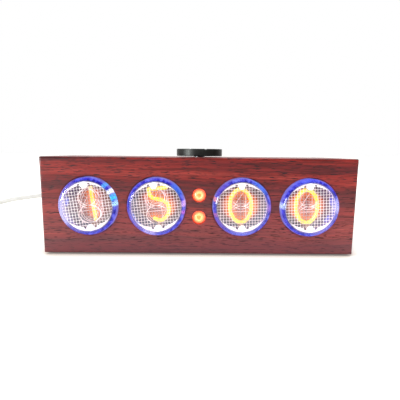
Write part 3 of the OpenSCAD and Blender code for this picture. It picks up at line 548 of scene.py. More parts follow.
@dataclass(frozen=True)
class Glow(Substance):
    """Glowing gas: two colours of light that mix by soft noise.

    The gas is far brighter than the camera can hold, so it looks plain yellow while it casts
    a strong orange light on the metal round it.
    """

    name: str
    colour: str
    second: str
    strength: float
    cast: float
    cast_colour: str = "ff6a28"
    noise_mm: float = 4.0

    def draw(self, add: AddNode) -> Node:
        """Gives one light to the eye and another to what it lights.

        Args:
            add: adds a node.

        Returns:
            The node that gives the surface.
        """
        place = add("TexCoord").outputs["Object"]
        scale = 1 / (self.noise_mm * MM)
        noise = add("TexNoise", {"Scale": scale, "Detail": 1.0, "Vector": place})
        stops = [(0.4, self.second), (0.6, self.colour)]
        colour = add("ValToRGB", {"stops": stops, "Fac": noise})
        seen = looked_at(add)
        light = add("Mix", {"data_type": "RGBA", 0: seen, 6: self.cast_colour, 7: colour})
        power = add("MapRange", {"To Min": self.cast, "To Max": self.strength, "Value": seen})
        gas = {"Emission Color": light, "Emission Strength": power}
        return add("BsdfPrincipled", {"Roughness": 0.6, "Base Color": "20100a", **gas})


@dataclass(frozen=True)
class Halo(Substance):
    """Painted glow: red-orange light round a lit numeral, standing in for the light that the gas
    casts and blooms in the tube, dense where its attribute is 1.
    """

    name: str = "neon_painted_glow"
    near: str = "ff7f2a"
    middle: str = "b03a1c"
    far: str = "a8583c"
    strength: float = 1.15

    def draw(self, add: AddNode) -> Node:
        """Mixes a light with nothing by the attribute.

        Args:
            add: adds a node.

        Returns:
            The node that gives the surface.
        """
        haze = add("Attribute", {"attribute_name": "haze"}).outputs["Fac"]
        stops = [(0.25, self.far), (0.45, self.middle), (0.85, self.near)]
        colour = add("ValToRGB", {"stops": stops, "Fac": haze})
        light = add("Emission", {"Strength": self.strength, "Color": colour})
        return add("MixShader", {0: haze, 1: add("BsdfTransparent"), 2: light})


@dataclass(frozen=True)
class TubeGlass(Substance):
    """Blown glass of a digit tube: clear dome, and a side wall with a painted blue glow from
    behind.

    blues are the dark, middle and light tone of the wall's painted glow. Each streak is (direction
    in degrees from +X towards +Z, half width in degrees, colour, gain): a painted reflection of the
    backlight along the wall, which the wall's ripples break up. Each spot is (direction, depth
    behind the dome's tip, radius, colour): a painted glow where the backlight leaves the wall. The
    pairs in millimetres say where the wall's painted glow sets in outwards, where it fades
    backwards, where the glass bends inwards, and where its painted lilac rim is.
    """

    name: str
    centre: Triple
    blues: tuple[str, str, str]
    painted_streaks: tuple[tuple[float, float, str, float], ...]
    painted_spots: tuple[tuple[float, float, float, str], ...]
    wall: Pair = (12.5, 13.3)
    fading: Pair = (5.0, 13.0)
    bend: Pair = (12.9, 14.9)
    rim: Pair = (14.25, 14.7)
    strength: float = 0.55

    def draw(self, add: AddNode) -> Node:
        """Colours the wall's painted glow by its radius, depth and direction, and keeps the dome
        clear.

        Args:
            add: adds a node.

        Returns:
            The node that gives the surface.
        """
        local, flat, radius = about_axis(add, self.centre)
        smooth = {"interpolation_type": "SMOOTHSTEP"}
        outwards = add("MapRange", {**span(*self.wall), **smooth, "Value": radius})
        depth = add("SeparateXYZ", {"Vector": local}).outputs["Y"]
        faded = {**span(*self.fading), "To Min": 1.0, "To Max": 0.12, "Value": depth}
        backwards = add("MapRange", faded)
        mask = add("Math", {"operation": "MULTIPLY", 0: outwards, 1: backwards})
        heading = add("VectorMath", {"operation": "NORMALIZE", 0: flat})
        # painted streaks of reflection run along the wall: the noise turns with the heading and
        # drifts with depth
        turned = add("VectorMath", {"operation": "SCALE", "Scale": 1.6, 0: heading})
        drift = add("VectorMath", {"operation": "SCALE", "Scale": 260.0, 0: local})
        where = add("VectorMath", {"operation": "ADD", 0: turned, 1: drift})
        noise = add("TexNoise", {"Scale": 1.3, "Detail": 3.0, "Vector": where})
        stops = list(zip((0.4, 0.5, 0.62), self.blues))
        colour = add("ValToRGB", {"stops": stops, "Fac": noise})
        # the painted glow turns navy where the wall turns inwards, and lilac at its outer edge
        across = add("MapRange", {**span(*self.bend), "Value": radius})
        stops = [(0.0, "34346c"), (0.2, "9a9ae0"), (0.4, WHITE)]
        tone = add("ValToRGB", {"stops": stops, "Fac": across})
        toned = {"blend_type": "MULTIPLY", 0: 1.0, 6: colour, 7: tone}
        colour = add("Mix", {"data_type": "RGBA", **toned})
        edge = add("MapRange", {**span(*self.rim), "To Max": 0.55, "Value": radius})
        colour = add("Mix", {"data_type": "RGBA", 0: edge, 6: colour, 7: "b9b4f4"})
        ripple = add("TexNoise", {"Scale": 7.0, "Detail": 1.0, "Vector": where})
        broken = add("MapRange", {"From Min": 0.42, "From Max": 0.52, "Value": ripple})
        for angle, half, streak, gain in self.painted_streaks:
            way = {"operation": "DOT_PRODUCT", 0: heading, 1: towards(angle)}
            edge_cos = {"From Min": math.cos(math.radians(half))}
            near = add("MapRange", {**edge_cos, **smooth, "Value": add("VectorMath", way)})
            share = add("Math", {"operation": "MULTIPLY", 0: near, 1: broken})
            bright = tuple(gain * c for c in linear(streak)[:3]) + (1.0,)
            colour = add("Mix", {"data_type": "RGBA", 0: share, 6: colour, 7: bright})
        for angle, back, size, spot in self.painted_spots:
            at = towards(angle, self.wall[1] * MM, back * MM)
            away = add("VectorMath", {"operation": "DISTANCE", 0: local, 1: at})
            near = add("MapRange", {**span(size, size / 2), **smooth, "Value": away})
            colour = add("Mix", {"data_type": "RGBA", 0: near, 6: colour, 7: spot})
            mask = add("Math", {"operation": "MAXIMUM", 0: mask, 1: near})
        # painted light: the wall and its spots glow by emission, standing in for the backlight that
        # shines through the glass
        power = add("Math", {"operation": "MULTIPLY", 0: mask, 1: self.strength})
        clearness = add("MapRange", {"To Min": 1.0, "To Max": 0.55, "Value": mask})
        body = add("Mix", {"data_type": "RGBA", 0: mask, 6: "f8faff", 7: "2a2a9a"})
        light = {"Emission Color": colour, "Emission Strength": power}
        glass = {"Roughness": 0.02, "IOR": GLASS_IOR, "Transmission Weight": clearness}
        return clear_to_lamps(add, add("BsdfPrincipled", {"Base Color": body, **light, **glass}))


@dataclass(frozen=True)
class LampGlass(Substance):
    """Neon lamp's glass, full of orange light that is strongest at its wall.

    reach is the pair of radii, in millimetres, between which the light's colour runs.
    """

    name: str
    centre: Triple
    reach: Pair = (0.7, 3.1)

    def draw(self, add: AddNode) -> Node:
        """Colours the light by its radius.

        Args:
            add: adds a node.

        Returns:
            The node that gives the surface.
        """
        radius = about_axis(add, self.centre)[-1]
        wall = add("MapRange", {**span(*self.reach), "Value": radius})
        stops = [(0.0, "c8641e"), (0.25, "ffd88a"), (0.6, "ff7a3a"), (1.0, "e8432a")]
        colour = add("ValToRGB", {"stops": stops, "Fac": wall})
        power = add("MapRange", {"To Min": 0.35, "To Max": 0.95, "Value": wall})
        clearness = add("MapRange", {"To Min": 1.0, "To Max": 0.3, "Value": wall})
        light = {"Emission Color": colour, "Emission Strength": power}
        glass = {"Roughness": 0.04, "IOR": GLASS_IOR, "Transmission Weight": clearness}
        lit = add("BsdfPrincipled", {"Base Color": "ffd9c0", **light, **glass})
        return clear_to_lamps(add, lit)


@dataclass(frozen=True)
class BoardLacquer(Substance):
    """Green solder lacquer over copper tracks, with tinned pads. A track is 0.6 mm wide."""

    name: str = "circuit_board_lacquer"
    track_mm: float = 2.4

    def draw(self, add: AddNode) -> Node:
        """Shows the tracks as lighter lines on a square pattern.

        Args:
            add: adds a node.

        Returns:
            The node that gives the surface.
        """
        place = add("TexCoord").outputs["Object"]
        square = {"distance": "CHEBYCHEV", "feature": "F1", "Scale": 1 / (self.track_mm * 2 * MM)}
        cells = add("TexVoronoi", {**square, "Vector": place})
        pad, lacquer, track = "c9c4a8", "134a2e", "2c7a4c"
        places = (0.10, 0.14, 0.42, 0.46, 0.52, 0.56)
        stops = list(zip(places, (pad, lacquer, lacquer, track, track, lacquer)))
        tracks = add("ValToRGB", {"stops": stops, "Fac": cells})
        return add("BsdfPrincipled", {"Roughness": 0.3, "Coat Weight": 0.3, "Base Color": tracks})


@dataclass(frozen=True)
class TablePaper(Substance):
    """White backdrop paper, with painted shadow: warmer and darker where something stands close
    over it.
    """

    name: str = "table_paper_white"
    light: float = 0.5

    def draw(self, add: AddNode) -> Node:
        """Adds light for the eye, so that the paper reaches white, with less of it in the painted
        shadow.

        Args:
            add: adds a node.

        Returns:
            The node that gives the surface.
        """
        # painted shadow: occlusion darkens and warms the paper, and takes away the added light,
        # where something stands close over it
        sky = add("AmbientOcclusion", {"samples": 12, "Distance": 0.01}).outputs["AO"]
        stops = [(0.45, "ddd0c2"), (0.8, "efe9e0"), (1.0, "f4f3ef")]
        paper = add("ValToRGB", {"stops": stops, "Fac": sky})
        white = add("BsdfDiffuse", {"Roughness": 1.0, "Color": paper})
        bounds = {"From Min": 0.4, "From Max": 0.9, "To Min": 0.15, "To Max": self.light}
        lifted = add("MapRange", {**bounds, "Value": sky})
        power = add("Math", {"operation": "MULTIPLY", 0: looked_at(add), 1: lifted})
        return add("AddShader", {0: white, 1: add("Emission", {"Color": WHITE, "Strength": power})})


# ---------- the lead ----------

# extruded soft vinyl: smooth, with a broad dull shine
LEAD_SHEATH = Finish("soft_vinyl_sheath", "f0f0ec", "e6e6e2", Making.SMOOTH, 0.42, 1.2, 0.05)
# vinyl moulded over the plug: finely grained white
PLUG_MOULDING = Finish("moulded_vinyl_white", "efefeb", "e4e4e0", Making.MOULDED, 0.38, 0.4, 0.12)


@dataclass
class PowerLead:
    """Thin white lead: out of its plug, round to the left and down, then a coil on the table."""

    diameter: float = 3.2
    start: Triple = (-62.0, 49.0, 24.0)
    socket_mouth: Triple = (-62.0, 25.5, 24.0)
    lie_z: float = 1.7
    coil_outer_r: float = 24.6
    turns_in: float = 3.5
    turns_over: float = 0.5
    turns_out: float = 3.5
    turn_pitch: float = 3.8
    climb_dip: float = 0.6
    points_per_turn: int = 24
    tail: float = 16.0
    plug_z: float = 4.0
    # how far left and back of the start, and the share of its height that is left
    steps: tuple[Triple, ...] = (
        (0, 0, 1), (0, 4, 1), (-1, 9, 1), (-4, 13.5, 0.996), (-8.5, 16.8, 0.987),
        (-14, 18.5, 0.973), (-22, 19.2, 0.946), (-32, 19.2, 0.91), (-42, 18.8, 0.865),
        (-52, 18.2, 0.816), (-62, 17.6, 0.762), (-72, 17, 0.7), (-82, 16.4, 0.623),
        (-91, 15.8, 0.52), (-99, 15.2, 0.399), (-107, 14.5, 0.265), (-115, 13.9, 0.139),
        (-123, 13.4, 0.045), (-131, 13.1, 0.005), (-138, 13, 0), (-142, 13, 0),
    )

    def route(self) -> np.ndarray:
        """The lead's middle line.

        Returns:
            Points in millimetres: the listed run, then a spiral of radius shrinking by one pitch a
                turn, a half turn up to the second layer, and the spiral out again.
        """
        left, back, share = np.array(self.steps).T
        height = self.lie_z + (self.start[2] - self.lie_z) * share
        run = coordinates(self.start[0] + left, self.start[1] + back, height)
        middle = run[-1, :2] - np.array([self.diameter, self.coil_outer_r])
        turns = self.turns_in + self.turns_over + self.turns_out
        w = np.arange(0, round(turns * self.points_per_turn) + 1) / self.points_per_turn
        angle = np.radians(90 + 360 * w)
        climb = np.clip((w - self.turns_in) / self.turns_over, 0, 1)
        inner_r = self.coil_outer_r - self.turns_in * self.turn_pitch
        past = np.maximum(w - self.turns_in - self.turns_over, 0)
        inwards = self.coil_outer_r - self.turn_pitch * w
        radius = np.where(w < self.turns_in, inwards, inner_r + self.turn_pitch * past)
        radius = radius - self.climb_dip * np.sin(np.pi * climb)
        height = self.lie_z + self.turn_pitch * (1 - np.cos(np.pi * climb)) / 2
        x, y = middle[0] + radius * np.cos(angle), middle[1] + radius * np.sin(angle)
        coil = coordinates(x, y, height)
        u = np.arange(1, 6) / 5
        drop = self.lie_z + self.turn_pitch - self.plug_z
        height = self.plug_z + drop * (1 + np.cos(np.pi * u)) / 2
        tail = coordinates(middle[0] + self.tail * u, middle[1] - self.coil_outer_r, height)
        return np.vstack([run, coil, tail, tail[-1] + np.array([self.diameter, 0, 0])])

    def build(self) -> None:
        """Makes the lead as one smooth curve and dresses its plugs."""
        points = self.route() * MM
        curve = bpy.data.curves.new("power_lead", "CURVE")
        curve.dimensions = "3D"
        curve.bevel_depth = self.diameter / 2 * MM
        curve.bevel_resolution = curve.resolution_u = 4
        curve.use_fill_caps = True
        spline = curve.splines.new("BEZIER")
        spline.bezier_points.add(len(points) - 1)
        spline.bezier_points.foreach_set("co", points.ravel())
        for point in spline.bezier_points:
            point.handle_left_type = point.handle_right_type = "AUTO"
        curve.materials.append(LEAD_SHEATH.build())
        lead = add_object("power_lead", curve)
        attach(lead, "root")
        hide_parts("cord_run", "cord_coil")
        moulding = PLUG_MOULDING.build()
        for node in ("cord_plug", "cord_supply_plug"):
            dress(node, moulding)


# ---------- digit tubes ----------


def strokes(numeral: int, w: float, h: float) -> list[np.ndarray]:
    """Middle lines of a numeral's strokes: straight lines, parts of ellipses and curves.

    Args:
        numeral: the numeral, 0 to 9.
        w: half its width in millimetres.
        h: half its height in millimetres.

    Returns:
        Lines of (x, z) in millimetres about the numeral's middle.
    """

    def straight(*corners: Pair) -> np.ndarray:
        """Line through corners, with a point every ninth of each side."""
        sides = [np.linspace(a, b, 10) for a, b in zip(corners, corners[1:])]
        return np.vstack([sides[0]] + [side[1:] for side in sides[1:]])

    def smooth(*knots: Pair) -> np.ndarray:
        """Curve through knots: between two of them a cubic whose ends follow their neighbours."""
        at = np.array([knots[0], *knots, knots[-1]])
        u = np.linspace(0, 1, 6, endpoint=False)[:, None]
        spans = [
            b + u / 2 * (c - a) + u**2 / 2 * (2 * a - 5 * b + 4 * c - d)
            + u**3 / 2 * (3 * b - a - 3 * c + d)
            for a, b, c, d in zip(at, at[1:], at[2:], at[3:])
        ]
        return np.vstack([*spans, at[-1:]])

    # all in shares of the half width and half height
    hook = arc((0, 1 - w / h), (1, w / h), 165, -50, 40)
    six = [
        arc((0, -0.43), (0.97, 0.57), 90, 450, 61),
        arc((0.9, -0.43), (1.87, 1.6), 180, 117, 24),
    ]
    lines = {
        0: [arc((0, 0), (1, 1), 90, 450, 73)],
        1: [straight((0, -1), (0, 1))],
        2: [
            np.vstack([hook[:-1], straight(tuple(hook[-1]), (-1, -1))]),
            straight((-1, -1), (1, -1)),
        ],
        3: [arc((0, 0.52), (0.85, 0.48), 150, -90, 40), arc((0, -0.48), (1, 0.52), 90, -150, 40)],
        4: [
            straight((0.4, -1), (0.4, 1)),
            straight((0.4, 1), (-1, -0.3)),
            straight((-1, -0.3), (1, -0.3)),
        ],
        5: [
            straight((-0.66, 1), (0.95, 1)),
            smooth(
                (-0.66, 1.0), (-0.62, 0.66), (-0.38, 0.45), (0.1, 0.34), (0.58, 0.22), (0.92, 0.0),
                (1.0, -0.28), (0.88, -0.6), (0.52, -0.86), (0.05, -0.95), (-0.42, -0.8),
            ),
        ],
        6: six,
        7: [straight((-1, 1), (1, 1)), straight((1, 1), (-0.2, -1))],
        8: [arc((0, 0.52), (0.8, 0.48), 90, 450, 61), arc((0, -0.48), (1, 0.52), 90, 450, 61)],
        9: [-line for line in six],
    }
    return [line * (w, h) for line in lines[numeral]]


class Numeral(Enum):
    """The numerals that are lit in the photograph."""

    ZERO = 0
    ONE = 1
    FIVE = 5


@dataclass
class DigitTube:
    """One end-on glow tube: blown glass, mesh, stack of numerals and the gas round one of them.

    Bars such as wire, mesh_wire and sheath are (half width, half depth). plain_z are the
    heights at which the mesh's upper and lower crescents start on the axis, slot_x is where
    a crescent's slots run, and overlap is how far an upright wire reaches into it. top_x and
    foot_x say, as shares of the half width, where a numeral's links start that doesn't have
    them on its axis.
    """

    number: int
    x: float
    turn: float
    lit: Numeral
    glass: TubeGlass
    radius: float = 14.75
    length: float = 30.0
    wall: float = 1.2
    dome_r: float = 55.0
    shoulder_r: float = 3.0
    half_w: float = 5.59
    half_h: float = 8.6
    first_plate_y: float = -20.7277
    plate_pitch: float = 0.9
    plate_t: float = 0.3
    wire: Pair = (0.14, 0.12)
    rod_span: float = 21.6
    eyelet_r: float = 0.78
    mesh_r: float = 12.5
    mesh_y: float = -22.2027
    mesh_rim: float = 0.4
    mesh_pitch: float = 1.44
    mesh_wire: Pair = (0.12, 0.1)
    mesh_half_t: float = 0.12
    plain_z: Pair = (10.95, 10.4)
    plain_half_w: float = 13.7
    plain_end: float = 10.9
    slot_x: Pair = (2.0, 3.2)
    slot_h: float = 0.8
    least_h: float = 0.02
    overlap: float = 0.1
    glare_half: Pair = (5.29, 8.8)
    # from the front the gas shows a little nearer to the clock's middle than the mesh does
    gas_shift: float = 0.975
    sheath: Pair = (1.0, 0.6)
    glow_half: Pair = (12.6, 9.0)
    glow_reach: float = 4.4
    glow_far: float = 0.26
    glow_near: float = 0.66
    order: tuple[int, ...] = (3, 8, 9, 4, 6, 0, 5, 7, 2, 1)
    top_x: tuple[Pair, ...] = ((4, 0.4), (6, 0.05))
    foot_x: tuple[Pair, ...] = ((4, 0.4), (7, -0.2), (9, -0.05))

    def shell(self, inset: float) -> np.ndarray:
        """Half outline of the glass, from the axis to its open back.

        The dome is an arc about the axis, and the shoulder an arc that rounds it into the side.

        Args:
            inset: how far inside the outer surface it runs.

        Returns:
            Points of (radius, y) in millimetres.
        """
        front = TUBE_FRONT_Y + inset
        radius, dome, shoulder = (r - inset for r in (self.radius, self.dome_r, self.shoulder_r))
        # the shoulder's centre lies shoulder inside the side, and touches the dome from inside
        reach = dome - shoulder
        centre_r = radius - shoulder
        centre_y = front + dome - math.sqrt(reach**2 - centre_r**2)
        meet = math.degrees(math.asin(centre_r / reach))
        cap = arc((0, front + dome), (dome, dome), -90, -90 + meet, 14)
        corner = arc((centre_r, centre_y), (shoulder, shoulder), -90 + meet, 0, 12)
        side = coordinates(radius, np.linspace(centre_y, TUBE_FRONT_Y + self.length, 12)[1:])
        return np.vstack([cap, corner[1:], side])

    def turned(self, flat: np.ndarray) -> np.ndarray:
        """Turns (x, z) points by the tube's own small turn and sets them on its axis."""
        t = math.radians(self.turn)
        x, z = flat[..., 0], flat[..., 1]
        return coordinates(
            self.x + x * math.cos(t) - z * math.sin(t), TUBE_Z + x * math.sin(t) + z * math.cos(t)
        )

    def placed(self, flat: np.ndarray, y: np.ndarray | float) -> np.ndarray:
        """Turns (x, z) points, sets them at a depth and gives them in metres."""
        at = self.turned(flat)
        return coordinates(at[..., 0], y, at[..., 1]) * MM

    def bar_along(self, path: np.ndarray, depth: float, half: Pair, sides: int = 12) -> np.ndarray:
        """Bar along one stroke, such as its wire or its gas: an oval carried along its line.

        Args:
            path: the stroke's line of (x, z).
            depth: Y of the numeral's middle plane.
            half: half the bar's width across the stroke, and half its depth along Y.
            sides: number of points round the oval.

        Returns:
            Grid of points in metres, with round ends.
        """
        along = np.gradient(path, axis=0)
        along /= np.linalg.norm(along, axis=1, keepdims=True)
        swell = np.ones(len(path))
        if np.allclose(path[0], path[-1]):
            along[0] = along[-1] = (along[0] + along[-1]) / 2
        else:
            # three more ovals round off each end
            cap = half[0] * np.array([[1.0], [0.8], [0.4]])
            path = np.vstack([path[0] - along[0] * cap, path, path[-1] + along[-1] * cap[::-1]])
            along = np.vstack([along[[0] * 3], along, along[[-1] * 3]])
            swell = np.concatenate([[0.02, 0.6, 0.92], swell, [0.92, 0.6, 0.02]])
        across = coordinates(-along[:, 1], along[:, 0])
        angle = np.linspace(0, 2 * np.pi, sides, endpoint=False) + np.pi / sides
        side = half[0] * np.cos(angle)[None, :, None] * swell[:, None, None]
        flat = path[:, None, :] + across[:, None, :] * side
        return self.placed(flat, depth + half[1] * np.sin(angle)[None, :] * swell[:, None])

    def plate_y(self, numeral: int) -> float:
        """Y of the middle plane of a numeral's plate."""
        place = self.order.index(numeral)
        return self.first_plate_y + place * self.plate_pitch + self.plate_t / 2

    def build_stack(self, metal: Material, stroke: np.ndarray) -> None:
        """Makes the ten unlit numerals as thin etched lines with their links and eyelets.

        The attribute glare is 1 on the links, and within 1 mm of the lit stroke on the plates
        before it; it falls to 0 over the next half millimetre.

        Args:
            metal: finish of the lines.
            stroke: all points of the lit strokes, as (x, z) in place.
        """
        w, h, reach = self.half_w, self.half_h, self.rod_span / 2
        bars = []
        for numeral in self.order:
            lines = strokes(numeral, w, h)
            for end, links in ((1, self.top_x), (-1, self.foot_x)):
                start = (w * dict(links).get(numeral, 0.0), end * h)
                lines.append(np.linspace(start, (0.0, end * (reach - self.eyelet_r)), 5))
                lines.append(arc((0, end * reach), (self.eyelet_r,) * 2, 90, 450, 17))
            depth = self.plate_y(numeral)
            bars += [self.bar_along(line, depth, self.wire, 4) for line in lines]
        mesh = join_bars(f"stack_{self.number}", bars)
        place = places(mesh)
        before = place[:, 1] < self.plate_y(self.lit.value)
        shine = np.where(before, np.clip((1.5 - nearest(place, stroke)) * 2, 0, 1), 0)
        beyond = np.clip((np.abs(place[:, 2] - TUBE_Z) - h) * 2, 0, 1)
        write_values(mesh, "glare", np.maximum(shine, beyond))
        self.add_piece("numeral_stack", mesh, metal, "digit_stack")

    def crescents(self, inner_r: float) -> list[np.ndarray]:
        """The mesh's plain crescents, in five parts, the second and fourth cut back for slots.

        Args:
            inner_r: radius of the middle of the rim, which they reach out to.

        Returns:
            Grids in metres: a four-cornered section carried along X.
        """
        near, far = self.slot_x
        cuts = (-self.plain_end, -far, -near, near, far, self.plain_end)
        y = self.mesh_y + self.mesh_half_t * np.array([-1, -1, 1, 1])
        parts = []
        for start, end in zip(cuts, cuts[1:]):
            x = np.linspace(start, end, 14)
            for side in (1, -1):
                low = self.plain_edge(x, side)
                if end in (-near, far):
                    low = low + self.slot_h
                # a crescent's tip keeps a least height, so that its section never folds over
                high = np.maximum(np.sqrt(inner_r**2 - x**2), low + self.least_h)
                loop = np.stack([low, high, high, low], axis=-1) * side
                points = self.placed(coordinates(x[:, None], loop), y)
                ends = points[[0, -1]].mean(axis=1, keepdims=True).repeat(4, axis=1)
                parts.append(np.vstack([ends[:1], points, ends[1:]]))
        return parts

    def plain_edge(self, x: np.ndarray | float, side: int) -> np.ndarray | float:
        """Height at which the upper or lower crescent starts over x: an ellipse."""
        return self.plain_z[side < 0] * np.sqrt(1 - (x / self.plain_half_w) ** 2)

    def build_mesh(self, metal: Material) -> None:
        """Makes the front mesh: straight wires in a rim, with a plain crescent at top and bottom.

        A crescent fills the space between the rim's circle and a flatter ellipse. Two short
        slots are left open in it, one on each side of the bead. The attribute glare is 1 within
        an ellipse over the numerals and falls to 0 over a sixth of its size.

        Args:
            metal: finish of the mesh.
        """
        r, half_t = self.mesh_r, self.mesh_half_t
        inner_r = r - self.mesh_rim / 2
        wires = []
        count = int((r - self.mesh_rim) / self.mesh_pitch + 0.5)
        for k in range(-count, count):
            at = (k + 0.5) * self.mesh_pitch
            inside = math.sqrt(inner_r**2 - at**2)
            foot, top = (
                s * min(inside, float(self.plain_edge(at, s)) + self.overlap) for s in (-1, 1)
            )
            wires.append(((at, foot), (at, top)))
            if -self.plain_z[1] < at < self.plain_z[0]:
                wires.append(((-inside, at), (inside, at)))
        lines = [np.linspace(*ends, 40) for ends in wires]
        bars = [self.bar_along(line, self.mesh_y, self.mesh_wire, 4) for line in lines]
        # rim: a flat ring, its section carried round the circle
        turn = np.linspace(0, 2 * np.pi, 97)
        edge = r - self.mesh_rim / 5
        section = np.array([(edge, -half_t), (r, -half_t), (r, half_t), (edge, half_t)])
        ring = coordinates(np.cos(turn), np.sin(turn))[:, None, :] * section[None, :, :1]
        bars.append(self.placed(ring, self.mesh_y + section[:, 1]))
        mesh = join_bars(f"mesh_{self.number}", bars + self.crescents(inner_r))
        place = places(mesh) - (self.x * self.gas_shift, 0.0, TUBE_Z)
        away = np.hypot(place[:, 0] / self.glare_half[0], place[:, 2] / self.glare_half[1])
        write_values(mesh, "glare", np.clip((1.15 - away) * 6, 0, 1))
        self.add_piece("front_mesh", mesh, metal, "anode_mesh")

    def build_painted_glow(self, stroke: np.ndarray, haze: Material) -> None:
        """Lays a thin disc of painted glow just behind the lit numeral, standing in for the light
        that the gas casts round it.

        The attribute of the painted glow falls off as a bell curve from the stroke, and to 0 at the
        edge.

        Args:
            stroke: all points of the lit strokes, as (x, z) in place.
            haze: its finish.
        """
        wide, high = self.glow_half
        share = np.linspace(0.02, 1, 26)[:, None]
        angle = np.linspace(0, 2 * np.pi, 60, endpoint=False)
        flat = coordinates(wide * share * np.cos(angle), high * share * np.sin(angle))
        points = self.placed(flat, self.plate_y(self.lit.value) + self.plate_pitch / 2)
        mesh = grid_mesh(f"haze_{self.number}", points)
        place = places(mesh)
        edge = np.hypot((place[:, 0] - self.x) / wide, (place[:, 2] - TUBE_Z) / high)
        bell = np.exp(-((nearest(place, stroke) / self.glow_reach) ** 2))
        dense = (self.glow_far + self.glow_near * bell) * np.clip((1 - edge) * 4, 0, 1)
        write_values(mesh, "haze", dense)
        make_piece(f"haze_{self.number}", mesh, haze)

    def add_piece(
        self, name: str, mesh: Mesh, material: Material, solid: str
    ) -> None:
        """Adds a piece of this tube that stands for one of its solids.

        Args:
            name: its name without the tube's number.
            mesh: its mesh.
            material: its finish.
            solid: the solid's name without the tube's number.
        """
        number = self.number
        replaced = (f"{solid}_{number}",)
        make_piece(f"{name}_{number}", mesh, material, replaces=replaced)

    def build(self, looks: dict[str, Material]) -> None:
        """Makes the tube's pieces.

        Args:
            looks: the finishes of gas, painted glow, plates and net.
        """
        outline = np.vstack([self.shell(0.0), self.shell(self.wall)[::-1]])
        mesh = lathe(f"glass_{self.number}", outline, (self.x, TUBE_Z), 96)
        self.add_piece("blown_glass", mesh, self.glass.build(), "tube_glass")
        paths = strokes(self.lit.value, self.half_w, self.half_h)
        stroke = self.turned(np.vstack(paths))
        self.build_stack(looks["plates"], stroke)
        self.build_mesh(looks["net"])
        for k, path in enumerate(paths):
            bar = self.bar_along(path, self.plate_y(self.lit.value), self.sheath)
            mesh = grid_mesh(f"gas_{self.number}_{k}", bar)
            make_piece(f"glowing_gas_{self.number}_{k + 1}", mesh, looks["gas"])
        self.build_painted_glow(stroke, looks["haze"])


# ---------- colon lamps ----------


@dataclass
class ColonLamp:
    """One neon lamp: glass with a domed tip, over its ring electrode."""

    name: str
    node: str
    z: float
    radius: float = 3.3
    front_y: float = -20.2
    length: float = 16.0
    wall: float = 0.5
    foot: float = 2.0
    bevel: float = 0.3
    dome_share: float = 0.62

    def build(self) -> None:
        """Makes the lamp's glass: two nested domes whose arcs run from the axis to the side."""
        r, inner_r = self.radius, self.radius - self.wall
        back = self.front_y + self.length
        floor = back - self.foot
        shells = []
        for inset, ends in (
            (0.0, [[r, back - self.bevel], [r - self.bevel, back], [0, back]]),
            (self.wall, [[inner_r, floor], [0, floor]]),
        ):
            wide = r - inset
            deep = wide * self.dome_share
            tip = arc((0, self.front_y + inset + deep), (wide, deep), -90, 0, 16)
            shells.append(lathe(self.name, np.vstack([tip, ends]), (0.0, self.z), 48))
        shells[1].flip_normals()
        mesh = join_meshes(self.name, shells)
        glass = LampGlass(f"{self.name}_glass", (0.0, 0.0, self.z)).build()
        make_piece(self.name, mesh, glass, replaces=(self.node,))


# ---------- the solids that keep their shape ----------


